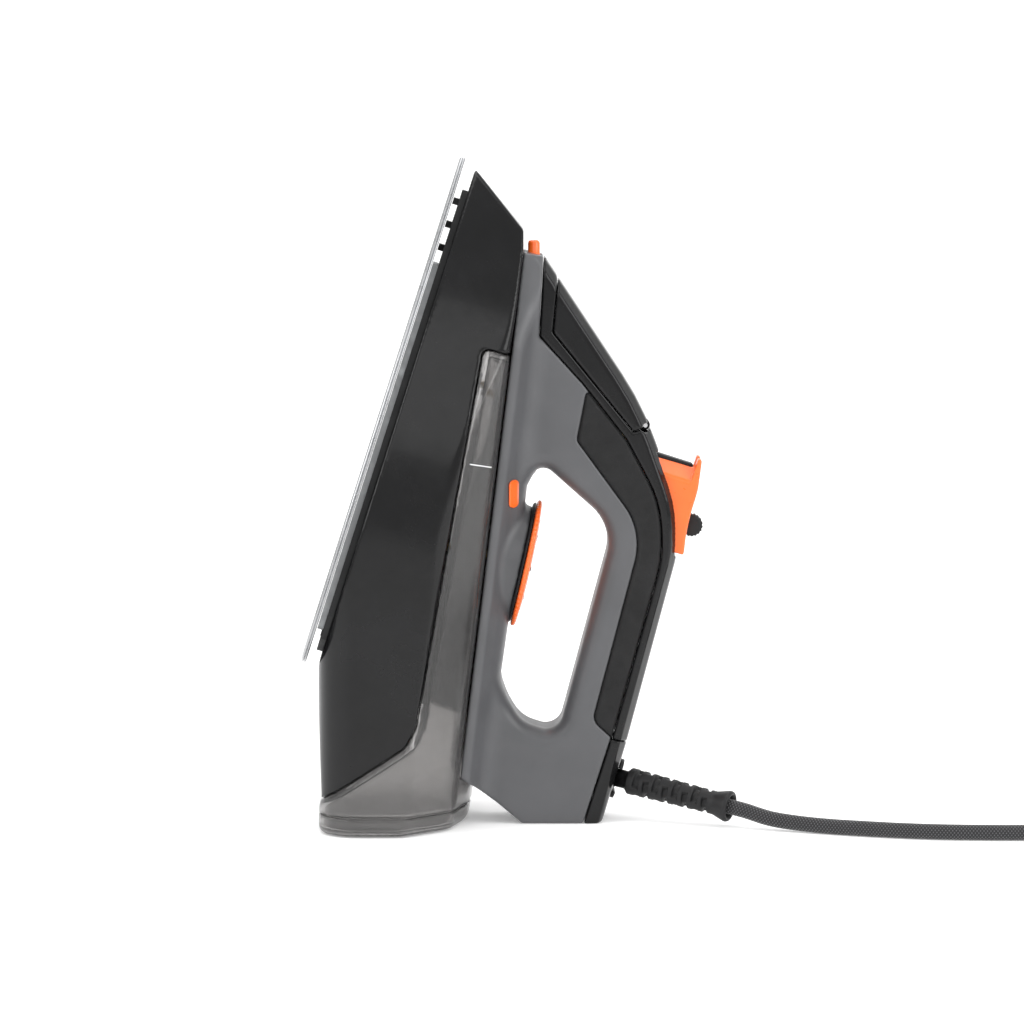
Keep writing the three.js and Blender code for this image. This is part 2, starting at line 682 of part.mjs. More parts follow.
function makeBody() {
  let shell = bodyForm(0).subtract(bodyForm(PANEL_WALL)).subtract(windowSlab(GAP));
  const open = solePlan(BODY_OVERHANG + PANEL_WALL, 3);
  shell = shell.subtract(planSlab(open, 0, BODY_BOTTOM_Z + PANEL_WALL + 1));
  shell = shell.subtract(saddleGap()).subtract(neckPipe(GAP, 30, 70));
  add(iron, 'body_shell', shell, 'blackGloss');

  const rim = bodyForm(0).intersect(windowSlab(0)).subtract(saddleGap());
  let tank = tankForm(TANK_INSET, 0).subtract(saddleGap()).add(rim);
  tank = tank.subtract(tankForm(TANK_INSET, TANK_WALL));
  tank = tank.subtract(tankForm(0, TANK_WALL + GAP).intersect(windowSlab(-3)));
  tank = tank.add(shaftTunnel(DIAL_SHAFT_RADIUS + 3).intersect(tankForm(TANK_INSET, 0)));
  tank = tank.subtract(shaftTunnel(DIAL_SHAFT_RADIUS + 1));
  tank = tank.subtract(neckPipe(GAP, 40, 70));
  tank = tank.subtract(valveTunnel(ROD_RADIUS + 1.5));
  const capCut = heelPrism(-2, -5, HEEL_CAP_HEIGHT);
  add(iron, 'tank_shell', tank.subtract(capCut), 'smoke');

  const capSolid = bodyForm(0).intersect(heelPrism(0, 0, HEEL_CAP_HEIGHT - GAP));
  const cap = capSolid.subtract(heelPrism(TANK_WALL, 2.5, HEEL_CAP_HEIGHT + 5));
  add(iron, 'heel_cap', cap, 'smoke');
}

// ---------------------------------------------------------------- handle, covers and grips
const FULL = HANDLE_HALF_WIDTH + 1;
const coverSlab = (grow) => sideSlab(trace(COVER_SIDE, grow), -FULL, FULL);
const lidSlab = (grow) => sideSlab(trace(LID_SIDE, grow), -FULL, FULL);
const rearSlab = (grow) => block(-80, 8 + grow, -FULL, FULL, REAR_COVER_Z - grow, 220);
const hingeRod = (radius, half) => rod(
  point(LID_HINGE.x, -half, LID_HINGE.y),
  point(LID_HINGE.x, half, LID_HINGE.y),
  radius,
  16,
);

// The inside of the handle, all round the finger loop.
function cavityForm(extra) {
  const wall = HANDLE_WALL + extra;
  const half = CAVITY_HALF_WIDTH - extra;
  const outer = sideSlab(trace(HANDLE_SIDE, -wall), -half, half);
  return outer.subtract(sideSlab(trace(FINGER_LOOP, wall), -FULL, FULL));
}

const fingerSlab = () => sideSlab(trace(FINGER_LOOP), -SADDLE_HALF_WIDTH - 5, SADDLE_HALF_WIDTH + 5);

const NOZZLE_BASE = point(205.4, 0, 46.3);
const NOZZLE_AIM = point(Math.cos(HEEL_TILT), 0, -Math.sin(HEEL_TILT));
const nozzleForm = (grow) => turned([
  [0, -grow],
  [3.4 + grow, -grow],
  [3.4 + grow, 1.6 + grow],
  [2.7 + grow, 2 + grow],
  [2.5 + grow, 9],
  [0, 9],
], NOZZLE_BASE, NOZZLE_AIM, 16);

// The pilot lens looks out of the slope at the front of the finger loop.
const LENS_BASE = point(113, 0, 75.35);
const LENS_AIM = point(-0.337, 0, 0.941);
const lensForm = (grow) => turned([
  [0, -3.6 - grow],
  [4.6 + grow, -3.6 - grow],
  [4.6 + grow, -2.6],
  [3.4 + grow, -2.6],
  [3.4 + grow, 0.3],
  [2.2, 1],
  [0, 1.2],
], LENS_BASE, LENS_AIM, 14);

const REAR_SCREWS = [3.3, -26];
const rearScrew = (x, grow) => rod(point(x, 0, 138 - grow), point(x, 0, 154), 1.4 + grow, 8)
  .add(rod(point(x, 0, 153 - grow), point(x, 0, 154.4 + 3 * grow), 2.5 + grow, 12));

const cleanStem = point(CLEAN_X + 3, 0, CLEAN_Z - 0.6);
// The self-clean button's pill outline in the side view, upright on the standing iron.
function cleanPill(grow) {
  const half = 4.2;
  const shape = new THREE.Shape();
  shape.absarc(0, half, 2.4 + grow, 0, Math.PI, false);
  shape.absarc(0, -half, 2.4 + grow, Math.PI, 2 * Math.PI, false);
  const middle = new THREE.Vector2(CLEAN_X, CLEAN_Z);
  return shape.getPoints(5)
    .slice(0, -1)
    .map((p) => p.rotateAround(new THREE.Vector2(), Math.PI / 2 - HEEL_TILT).add(middle));
}

// One thumb button's side view.
const BUTTON_SIDE = [
  [98, 145.5, 0],
  [98, 152.6, 1],
  [104.5, consoleTopZ(104.5), 1.5],
  [142.2, consoleTopZ(142.2), 1],
  [142.2, 144.8, 0],
  [137.4, 144, 1],
  [137, 127.5, 0],
];
const TRAY_DROP = BUTTON_TRAVEL + 1.2;

const buttonFloorZ = (x) => 145.5 + ((127.5 - 145.5) * (x - 98)) / (137 - 98);
const trayTopZ = (x) => buttonFloorZ(x) - TRAY_DROP;

function makeHandle() {
  const cavity = cavityForm(0);
  const gripInner = HANDLE_HALF_WIDTH - GRIP_PAD - GAP;
  const grip = sideSlab(trace(GRIP_SIDE, GAP), -FULL, FULL)
    .subtract(block(0, 200, -gripInner, gripInner, 60, 170));
  const saddle = saddleForm(0).subtract(fingerSlab());
  const pedestal = rod(dialPoint(-14), dialPoint(-1.8), PEDESTAL_RADIUS, 28);
  let shell = handleForm().add(saddle).add(pedestal);
  const below = sideSlab([
    new THREE.Vector2(-60, handleLineZ(-60)),
    new THREE.Vector2(-60, 0),
    new THREE.Vector2(260, 0),
    new THREE.Vector2(260, handleLineZ(260)),
  ], -60, 60);
  const loopWall = sideSlab(trace(FINGER_LOOP, HANDLE_WALL), -60, 60);
  shell = shell.subtract(below);
  shell = shell.subtract(cavity).subtract(saddleForm(HANDLE_WALL).subtract(loopWall));
  shell = shell.subtract(coverSlab(GAP)).subtract(rearSlab(GAP)).subtract(grip);
  shell = shell.subtract(rod(dialPoint(-40), dialPoint(5), DIAL_SHAFT_RADIUS + 1, 12));
  shell = shell.subtract(sideSlab(cleanPill(SLIDE), CLEAN_INNER_Y - CLEAN_TRAVEL - SLIDE, 60));
  shell = shell.subtract(traySlab(GAP)).subtract(neckPipe(GAP, 30, 70));
  shell = shell.subtract(valveTunnel(ROD_RADIUS + 1));
  shell = shell.subtract(nozzleForm(GAP)).subtract(lensForm(GAP));
  const posts = block(-38, -22, -3, 3, 128, REAR_COVER_Z - GAP)
    .add(block(REAR_SCREWS[0] - 3, REAR_SCREWS[0] + 3, -3, 3, 122, REAR_COVER_Z - GAP));
  const cleanRib = block(CLEAN_X - 5, CLEAN_X + 6, CLEAN_RIB_Y - 2, CLEAN_RIB_Y, CLEAN_Z - 6, CLEAN_Z + 4);
  shell = shell.add(posts.intersect(handleForm()));
  shell = shell.add(cleanRib.intersect(saddleForm(1)));
  for (const x of REAR_SCREWS) {
    shell = shell.subtract(rearScrew(x, GAP));
  }
  add(iron, 'handle_shell', shell, 'grey');

  for (const [name, side] of [['grip_left', 1], ['grip_right', -1]]) {
    const inner = HANDLE_HALF_WIDTH - GRIP_PAD;
    const ys = [side * inner, side * FULL].sort((a, b) => a - b);
    add(iron, name, sideSlab(trace(GRIP_SIDE), ys[0], ys[1]).intersect(handleForm()), 'rubber');
  }

  let cover = handleForm().intersect(coverSlab(0)).subtract(cavity);
  cover = cover.subtract(lidSlab(GAP)).subtract(rearSlab(GAP));
  cover = cover.subtract(hingeRod(LID_KNUCKLE_RADIUS + 0.5, FULL));
  cover = cover.subtract(sideSlab(trace([
    [96.5, 120, 0],
    [96.5, 200, 0],
    [139.5, 200, 0],
    [139.5, 100, 0],
  ]), -CONSOLE_HALF_WIDTH - SLIDE, CONSOLE_HALF_WIDTH + SLIDE));
  cover = cover.subtract(traySlab(GAP));
  add(iron, 'top_cover', cover, 'blackGloss');

  let rear = handleForm().intersect(block(-80, 8, -FULL, FULL, REAR_COVER_Z, 220));
  rear = rear.subtract(rod(point(SWIVEL_X, 0, 120), point(SWIVEL_X, 0, 170), SOCKET_RADIUS + GAP, 20));
  for (const x of REAR_SCREWS) {
    rear = rear.subtract(rearScrew(x, GAP));
  }
  add(iron, 'rear_cover', rear, 'blackGloss');
}

// ---------------------------------------------------------------- buttons, tray and pumps
// The tray that the buttons sit over, inside the handle.
function traySlab(grow) {
  const plate = [
    [96.9, trayTopZ(96.9), 0],
    [139.1, trayTopZ(139.1), 0],
    [139.1, trayTopZ(139.1) - 2, 0],
    [96.9, trayTopZ(96.9) - 2, 0],
  ];
  const half = CONSOLE_HALF_WIDTH + grow;
  return sideSlab(trace(plate, grow), -half, half);
}

// A coil spring: wire carried round a helix, from a base along a straight line.
class Helix extends THREE.Curve {
  constructor(base, aim, radius, length, turns) {
    super();
    Object.assign(this, { base, radius, length, turns });
    this.turnTo = new THREE.Quaternion().setFromUnitVectors(point(0, 0, 1), aim);
  }

  getPoint(t) {
    const angle = 2 * Math.PI * this.turns * t;
    return point(this.radius * Math.cos(angle), this.radius * Math.sin(angle), this.length * t)
      .applyQuaternion(this.turnTo).add(this.base);
  }
}

function spring(base, aim, length) {
  const turns = 4;
  const start = base.clone().addScaledVector(aim, SPRING_WIRE);
  const helix = new Helix(start, aim, SPRING_RADIUS, length - 2 * SPRING_WIRE, turns);
  return carried(helix, SPRING_WIRE, 5, turns * 7);
}

function makeConsole() {
  const rib = trace([
    [97.2, trayTopZ(97.2) - 1, 0],
    [97.2, 150.6, 0],
    [104, consoleTopZ(104) - 3.2, 0],
    [105, consoleTopZ(105) - 6.6, 0],
    [128, consoleTopZ(128) - 6.6, 0],
    [129, consoleTopZ(129) - 3.2, 0],
    [138.6, consoleTopZ(138.6) - 3.2, 1.5],
    [138.6, trayTopZ(138.6) - 1, 0],
  ]);
  let tray = traySlab(0).add(sideSlab(rib, -CONSOLE_RIB, CONSOLE_RIB));
  tray = tray.subtract(block(SLIDER_X - 2, SLIDER_X + SLIDER_TRAVEL + 2, -1.6, 1.6, 100, 160));
  for (const side of [-1, 1]) {
    const y = side * PUMP_Y;
    tray = tray.subtract(rod(point(PUMP_X, y, 110), point(PUMP_X, y, 140), PLUNGER_RADIUS + SLIDE, 10));
  }
  add(iron, 'button_tray', tray, 'blackSatin');

  const up = point(0, 0, 1);
  for (const [kind, side] of [['spray', 1], ['steam', -1]]) {
    const ys = [side * (CONSOLE_RIB + SLIDE), side * CONSOLE_HALF_WIDTH].sort((a, b) => a - b);
    let button = sideSlab(trace(BUTTON_SIDE), ys[0], ys[1]);
    const y = side * PUMP_Y;
    const floor = buttonFloorZ(SPRING_X);
    const pocket = rod(
      point(SPRING_X, side * SPRING_Y, floor - 5),
      point(SPRING_X, side * SPRING_Y, floor + SPRING_POCKET),
      SPRING_RADIUS + SPRING_WIRE + 0.3,
      12,
    );
    button = button.subtract(pocket);
    const pumpAxis = (z) => point(PUMP_X, y, z);
    const plunger = rod(pumpAxis(PUMP_TOP_Z - 4), pumpAxis(buttonFloorZ(PUMP_X) + 3), PLUNGER_RADIUS, 10);
    add(iron, `${kind}_button`, button.add(plunger), 'orange');

    const base = point(SPRING_X, side * SPRING_Y, trayTopZ(SPRING_X) + 1.6);
    const length = floor + SPRING_POCKET - GAP - base.z;
    add(iron, `${kind}_button_spring`, spring(base, up, length), 'steel');

    const low = PUMP_TOP_Z - PUMP_LENGTH;
    const bore = rod(pumpAxis(PUMP_TOP_Z - 14), pumpAxis(PUMP_TOP_Z + 1), PLUNGER_RADIUS + SLIDE, 10);
    const pump = rod(pumpAxis(low), pumpAxis(PUMP_TOP_Z), PUMP_RADIUS, 16)
      .add(rod(pumpAxis(low - 5), pumpAxis(low + 1), 1.5, 10))
      .subtract(bore);
    add(iron, `${kind}_pump`, pump, 'ceramic');
  }

  const knobZ = consoleTopZ(SLIDER_X) - 0.4;
  const half = CONSOLE_RIB - SLIDE / 2;
  const slider = rod(point(SLIDER_X, -half, knobZ), point(SLIDER_X, half, knobZ), SLIDER_RADIUS, 20)
    .add(block(SLIDER_X - 1.2, SLIDER_X + 1.2, -1.2, 1.2, trayTopZ(SLIDER_X) - 6, knobZ));
  add(iron, 'steam_slider', slider, 'blackSatin');
}

// ---------------------------------------------------------------- water: valve, neck, nozzle, filter
const ROD_TOP_Z = 110;
const VALVE_TOP_Z = 40;

function makeWaterParts() {
  const needle = rod(point(ROD_X, 0, TANK_FLOOR_Z + 6), point(ROD_X, 0, ROD_TOP_Z), ROD_RADIUS, 10)
    .add(rod(point(ROD_X, 0, ROD_TOP_Z - 1), point(ROD_X, 0, ROD_TOP_Z + 2), 2.6, 12));
  add(iron, 'needle_rod', needle, 'brass');
  const floor = TANK_FLOOR_Z + TANK_WALL + GAP;
  const valve = rod(point(ROD_X, 0, floor), point(ROD_X, 0, VALVE_TOP_Z), VALVE_RADIUS, 14)
    .subtract(rod(point(ROD_X, 0, floor + 2), point(ROD_X, 0, VALVE_TOP_Z + 1), ROD_RADIUS + SLIDE, 10));
  add(iron, 'water_valve', valve, 'blackSatin');

  // The scale filter is a cartridge that stands in the tank beside the shaft's tunnel.
  const box = trace([[2, floor, 0], [46, floor, 0], [46, 52, 0], [2, 58, 0]]);
  const hollow = trace([[4, floor + 2, 0], [44, floor + 2, 0], [44, 80, 0], [4, 80, 0]]);
  add(iron, 'scale_filter', sideSlab(box, -16, 16).subtract(sideSlab(hollow, -14, 14)), 'blackSatin');

  // The filler neck is a trough under the lid, with a pipe down into the tank.
  const outer = neckOutline(0, 0);
  const inner = neckOutline(NECK_WALL, 4);
  let neck = sideSlab(outer, -NECK_HALF_WIDTH, NECK_HALF_WIDTH);
  const pipe = (low, radius) => rod(point(NECK_PIPE_X, 0, low), point(NECK_PIPE_X, 0, 80), radius, 16);
  neck = neck.add(pipe(44, NECK_PIPE_RADIUS + NECK_WALL));
  const wide = NECK_HALF_WIDTH - NECK_WALL;
  neck = neck.subtract(sideSlab(inner, -wide, wide));
  neck = neck.subtract(pipe(40, NECK_PIPE_RADIUS));
  add(iron, 'filler_neck', neck, 'blackSatin');

  add(iron, 'spray_nozzle', nozzleForm(0), 'orange');
  const low = PUMP_TOP_Z - PUMP_LENGTH - 5;
  const route = new THREE.CatmullRomCurve3([
    NOZZLE_BASE.clone().addScaledVector(NOZZLE_AIM, -2 * GAP),
    NOZZLE_BASE.clone().addScaledVector(NOZZLE_AIM, -6).add(point(0, 1.6, -0.6)),
    point(188, 8, 52.2),
    point(176, 10.6, 58),
    point(150, 10.6, 68),
    point(133, 10.4, 73),
    point(PUMP_X + 0.6, 8.4, 76.5),
    point(PUMP_X, PUMP_Y, low - GAP),
  ]);
  add(iron, 'spray_hose', carried(route, 1.5, 6, 24), 'smoke');
}

// The outer face of the lid in the side view.
const LID_LINE = new THREE.Vector2(209, 50.5);
const LID_ALONG = new THREE.Vector2(158, 114).sub(LID_LINE).normalize();

// A point under the lid: so far back along it, and so deep below its outer face.
function underLid(along, depth) {
  const inward = new THREE.Vector2(-LID_ALONG.y, LID_ALONG.x);
  return LID_LINE.clone().addScaledVector(LID_ALONG, along).addScaledVector(inward, depth);
}

// The trough's outline, inset all round, its mouth moved out past the outer one's.
function neckOutline(inset, past) {
  return [
    underLid(26 + inset, NECK_MOUTH_DEPTH - past),
    underLid(64 - inset, NECK_MOUTH_DEPTH - past),
    underLid(64 - inset, 20 - inset),
    underLid(26 + inset, 20 - inset),
  ];
}

// ---------------------------------------------------------------- lid, dial, self-clean button
function makeLid() {
  const knuckle = hingeRod(LID_KNUCKLE_RADIUS, LID_KNUCKLE_HALF);
  let lid = handleForm().intersect(lidSlab(0)).subtract(cavityForm(0));
  for (const side of [-1, 1]) {
    const from = point(LID_HINGE.x, side * (LID_KNUCKLE_HALF + 0.2), LID_HINGE.y);
    const to = point(LID_HINGE.x, side * (LID_KNUCKLE_HALF + 3.8), LID_HINGE.y);
    lid = lid.subtract(rod(from, to, LID_KNUCKLE_RADIUS + 0.5));
  }
  lid = lid.add(knuckle).subtract(hingeRod(LID_PIN_RADIUS + 0.2, FULL));
  add(iron, 'filler_lid', lid, 'blackGloss');
  add(iron, 'lid_hinge_pin', hingeRod(LID_PIN_RADIUS, LID_KNUCKLE_HALF + 3), 'steel');
  const seal = [underLid(27, 5.2), underLid(27, 3), underLid(63, 3), underLid(63, 5.2)];
  add(iron, 'lid_seal', sideSlab(seal, -NECK_HALF_WIDTH + 0.6, NECK_HALF_WIDTH - 0.6), 'rubber');
}

function makeDial() {
  const bezel = turned([
    [DIAL_SHAFT_RADIUS + 1, -1.5],
    [DIAL_RADIUS - 2.4, -1.5],
    [DIAL_RADIUS - 1.6, -GAP],
    [DIAL_SHAFT_RADIUS + 1, -GAP],
    [DIAL_SHAFT_RADIUS + 1, -1.5],
  ], dialPoint(0), DIAL_AIM, 32);
  add(iron, 'dial_bezel', bezel, 'blackSatin');
  const dial = turned([
    [0, 0],
    [DIAL_RADIUS - 0.6, 0],
    [DIAL_RADIUS, 0.6],
    [DIAL_RADIUS - 0.8, 1.8],
    [DIAL_RADIUS * 0.7, DIAL_THICK - 0.3],
    [0, DIAL_THICK],
  ], dialPoint(0), DIAL_AIM, 40);
  const finger = new THREE.CylinderGeometry(5, 4, 3, 12);
  finger.translate(0, DIAL_THICK + 0.6, DIAL_RADIUS * 0.66);
  finger.applyQuaternion(new THREE.Quaternion().setFromUnitVectors(point(0, 1, 0), DIAL_AIM));
  finger.translate(DIAL_X, 0, DIAL_Z);
  add(iron, 'thermostat_dial', dial.subtract(solid(finger)), 'orange');
  const shaft = rod(dialPoint(-shaftDrop + GAP), dialPoint(-GAP), DIAL_SHAFT_RADIUS, 12);
  add(iron, 'dial_shaft', shaft, 'brass');
}

function makeSelfClean() {
  const cap = sideSlab(cleanPill(0), CLEAN_INNER_Y, 40).intersect(saddleForm(-1.2));
  const stemEnd = 12;
  const stem = rod(cleanStem.clone().setY(stemEnd), cleanStem.clone().setY(CLEAN_INNER_Y + 1), 1.2, 10);
  add(iron, 'self_clean_button', cap.add(stem), 'orange');
  const base = cleanStem.clone().setY(CLEAN_RIB_Y + GAP + 0.3);
  const length = stemEnd - GAP - 0.3 - base.y;
  const turns = 5;
  const helix = new Helix(base, point(0, 1, 0), CLEAN_SPRING_RADIUS, length, turns);
  add(iron, 'self_clean_spring', carried(helix, 0.3, 5, turns * 6), 'steel');
  add(iron, 'pilot_lens', lensForm(0), 'smoke');
}

// ---------------------------------------------------------------- the rear: swivel, terminals, screws
const swivelSpot = point(SWIVEL_X, 0, SWIVEL_Z);
const sleeveAim = point(
  Math.sin(SWIVEL_PITCH),
  Math.cos(SWIVEL_PITCH) * Math.sin(SWIVEL_REST),
  Math.cos(SWIVEL_PITCH) * Math.cos(SWIVEL_REST),
);
const MOUTH_DEPTH = 3;

function makeRear() {
  const axis = (z) => point(SWIVEL_X, 0, z);
  const barrel = (radius, half) => {
    const ends = [-half, half].map((x) => point(SWIVEL_X + x, 0, SWIVEL_Z));
    return rod(ends[0], ends[1], radius, 20);
  };
  let socket = rod(axis(SWIVEL_Z - 9), axis(SWIVEL_Z + 6), SOCKET_RADIUS, 20);
  socket = socket.add(rod(axis(154.5 + GAP), axis(SWIVEL_Z + 6.5), FLANGE_RADIUS, 20));
  socket = socket.subtract(barrel(BARREL_RADIUS + SLIDE, BARREL_HALF + SLIDE));
  socket = socket.subtract(block(SWIVEL_X - SLOT_HALF, SWIVEL_X + SLOT_HALF, -12, 12, SWIVEL_Z + 1.5, 170));
  socket = socket.subtract(rod(axis(120), axis(SWIVEL_Z), 4.2, 12));
  add(iron, 'swivel_socket', socket, 'blackSatin');

  let relief = barrel(BARREL_RADIUS, BARREL_HALF);
  relief = relief.add(turned([
    [0, 0],
    [SLEEVE_NECK, 0],
    [SLEEVE_NECK, 11],
    [SLEEVE_RADIUS, 13],
    [SLEEVE_RADIUS - 0.9, SLEEVE_LENGTH - 8],
    [SLEEVE_BELL, SLEEVE_LENGTH - 2.5],
    [SLEEVE_BELL - 0.6, SLEEVE_LENGTH],
    [SLEEVE_BELL - 1.6, SLEEVE_LENGTH],
    [CORD_RADIUS + 1, SLEEVE_LENGTH - MOUTH_DEPTH],
    [0, SLEEVE_LENGTH - MOUTH_DEPTH],
  ], swivelSpot, sleeveAim, 18));
  add(iron, 'strain_relief', relief, 'blackSatin');

  let terminals = block(-26, -6, -9, 9, 104, 116);
  for (const y of [-6, 0, 6]) {
    terminals = terminals.subtract(rod(point(-27, y, 110), point(-15, y, 110), 1.8, 8));
  }
  add(iron, 'terminal_block', terminals, 'ceramic');
  const clamp = block(-22, -8, -8, 8, 124, 128).subtract(block(-19, -11, -5, 5, 120, 126));
  add(iron, 'cord_clamp', clamp, 'blackSatin');
  REAR_SCREWS.forEach((x, i) => add(iron, `rear_screw_${i + 1}`, rearScrew(x, 0), 'steel'));
}

// ---------------------------------------------------------------- the lead, its coil and its plug
const CORD_Z = CORD_RADIUS + 0.1;
const TURN_OUTER = COIL_OUTER - CORD_RADIUS;

function makeLead() {
  const pivot = swivelSpot.clone().applyMatrix4(standUp);
  const aim = sleeveAim.clone().transformDirection(standUp);
  const start = pivot.addScaledVector(aim, SLEEVE_LENGTH - MOUTH_DEPTH + GAP);
  const route = new THREE.CatmullRomCurve3([
    start,
    start.clone().addScaledVector(aim, 10),
    point(171, -33.6, 5.3),
    point(183, -38.9, 4.1),
    point(197, -44.8, CORD_Z),
    point(212, -50.6, CORD_Z),
    point(229, -56, CORD_Z),
    point(248, -59.8, CORD_Z),
    point(270, -61.4, CORD_Z),
    point(294, -61.4, CORD_Z),
    point(320.9, -61.4, CORD_Z),
  ]);
  add(row, 'power_cord', carried(route, CORD_RADIUS, 8, 22), 'textile');

  const edge = 3;
  const ring = new THREE.LatheGeometry([
    [COIL_INNER, edge],
    [COIL_INNER + edge, 0],
    [COIL_OUTER - edge, 0],
    [COIL_OUTER, edge],
    [COIL_OUTER, COIL_HEIGHT - edge],
    [COIL_OUTER - edge, COIL_HEIGHT],
    [COIL_INNER + edge, COIL_HEIGHT],
    [COIL_INNER, COIL_HEIGHT - edge],
    [COIL_INNER, edge],
  ].map((p) => new THREE.Vector2(p[0], p[1])), 32);
  ring.rotateX(Math.PI / 2);
  ring.translate(COIL_CENTRE.x, COIL_CENTRE.y, 0);
  add(row, 'cord_coil', solid(ring), 'textile');

  const band = 1.2;
  const slack = 1;
  let tie = block(COIL_INNER - slack - band, COIL_OUTER + GAP + band, -6, 6, 0.1, COIL_HEIGHT + GAP + band);
  tie = tie.subtract(block(COIL_INNER - slack, COIL_OUTER + GAP, -7, 7, -1, COIL_HEIGHT + GAP));
  const place = new THREE.Matrix4().makeRotationZ(THREE.MathUtils.degToRad(150));
  place.setPosition(COIL_CENTRE.x, COIL_CENTRE.y, 0);
  const tieGeometry = geometryOf(tie).applyMatrix4(place);
  add(row, 'cord_tie', solid(tieGeometry), 'rubber');

  const outward = point(Math.cos(COIL_EXIT), Math.sin(COIL_EXIT), 0);
  const along = point(-Math.sin(COIL_EXIT), Math.cos(COIL_EXIT), 0);
  const leave = point(COIL_CENTRE.x, COIL_CENTRE.y, PLUG_RADIUS).addScaledVector(outward, TURN_OUTER);
  const tailFrom = leave.clone().addScaledVector(along, 26.5);
  const plugBack = leave.clone().addScaledVector(along, 41);
  const tail = new THREE.LineCurve3(tailFrom, plugBack.clone().addScaledVector(along, -GAP));
  add(row, 'cord_tail', carried(tail, CORD_RADIUS, 8, 2), 'textile');

  let plug = turned([
    [0, 0],
    [5.4, 0],
    [6.2, 8],
    [11, 14],
    [PLUG_RADIUS - 1.6, 18],
    [PLUG_RADIUS, 21],
    [PLUG_RADIUS, PLUG_LENGTH - 1],
    [PLUG_RADIUS - 1, PLUG_LENGTH],
    [0, PLUG_LENGTH],
  ], plugBack, along, 24);
  [-1, 1].forEach((side, i) => {
    const spot = plugBack.clone().addScaledVector(outward, (side * PIN_SPACING) / 2);
    const pin = (low, high, radius) => rod(
      spot.clone().addScaledVector(along, low),
      spot.clone().addScaledVector(along, high),
      radius,
      12,
    );
    const depth = PLUG_LENGTH - 8;
    plug = plug.subtract(pin(depth - GAP, PLUG_LENGTH + 1, PIN_RADIUS + GAP));
    add(row, `plug_pin_${i + 1}`, pin(depth, PLUG_LENGTH + PIN_LENGTH, PIN_RADIUS), 'steel');
  });
  add(row, 'plug_body', plug, 'blackSatin');
}

makeSole();
makeCasting();
makeChamber();
makeHeatShield();
makeBody();
makeHandle();
makeConsole();
makeWaterParts();
makeLid();
makeDial();
makeSelfClean();
makeRear();
makeLead();

export default row;
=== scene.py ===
"""A steam iron on its heel: the finished surfaces of its shells, sole, dial, keys and lead.

Shapes are worked out in the iron's own millimetres, as it lies on its sole (x forward, y to its left,
z up from the ironing face), and are stood up by `stand` on the frame's mounts and joints.
"""

import json
import math

import bmesh
import bpy
import numpy as np
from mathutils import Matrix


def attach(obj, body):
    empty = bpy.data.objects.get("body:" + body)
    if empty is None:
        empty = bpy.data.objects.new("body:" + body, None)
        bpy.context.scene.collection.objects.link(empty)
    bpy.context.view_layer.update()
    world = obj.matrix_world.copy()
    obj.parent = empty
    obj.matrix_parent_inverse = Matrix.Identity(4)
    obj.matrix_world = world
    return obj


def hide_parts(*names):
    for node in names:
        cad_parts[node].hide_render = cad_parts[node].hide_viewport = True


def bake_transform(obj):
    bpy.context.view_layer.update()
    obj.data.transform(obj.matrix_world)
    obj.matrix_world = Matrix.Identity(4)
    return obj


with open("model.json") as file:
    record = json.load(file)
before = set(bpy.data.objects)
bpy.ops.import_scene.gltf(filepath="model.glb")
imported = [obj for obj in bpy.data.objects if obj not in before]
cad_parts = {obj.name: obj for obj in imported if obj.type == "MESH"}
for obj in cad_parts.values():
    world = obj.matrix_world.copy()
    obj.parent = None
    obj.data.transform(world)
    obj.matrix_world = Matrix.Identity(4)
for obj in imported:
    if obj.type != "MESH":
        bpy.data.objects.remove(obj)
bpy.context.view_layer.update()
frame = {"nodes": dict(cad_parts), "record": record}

record = frame["record"]
joints = {j["name"]: j for j in record["behaviour"]["joints"]}
mounts = {m["name"]: m for m in record["mounts"]}

# ---------------------------------------------------------------- the iron's frame
FORWARD = np.array(joints["cord_swivel"]["axis"])
UPWARD = -np.array(mounts["sole_face"]["axis"])
LEFT = np.cross(UPWARD, FORWARD)
SOLE_MOUNT_X = 90.0
SOLE_REAR = np.array(mounts["sole_face"]["pos_m"]) - FORWARD * SOLE_MOUNT_X / 1000
HEEL_TILT = math.radians(17.7)


def stand(points):
    """Row-frame metres of points in the iron's millimetres: rear of the sole plus the three axes."""
    p = np.asarray(points, float) / 1000
    return SOLE_REAR + p[..., :1] * FORWARD + p[..., 1:2] * LEFT + p[..., 2:3] * UPWARD


# ---------------------------------------------------------------- camera, floor and light
CAMERA_TARGET = np.array([0.0537, 0.0, 0.142])
CAMERA_DISTANCE = 2.25
CAMERA_ELEVATION = math.radians(6)
CAMERA_LENS = 172.3


def make_camera():
    """The camera: level across, looking down by its elevation at the target."""
    data = bpy.data.cameras.new("camera")
    data.lens = CAMERA_LENS
    data.sensor_width = 36
    camera = bpy.data.objects.new("camera", data)
    bpy.context.scene.collection.objects.link(camera)
    back = np.array([0, -math.cos(CAMERA_ELEVATION), math.sin(CAMERA_ELEVATION)])
    camera.location = CAMERA_TARGET + back * CAMERA_DISTANCE
    camera.rotation_euler = (math.pi / 2 - CAMERA_ELEVATION, 0, 0)
    bpy.context.scene.camera = camera


make_camera()

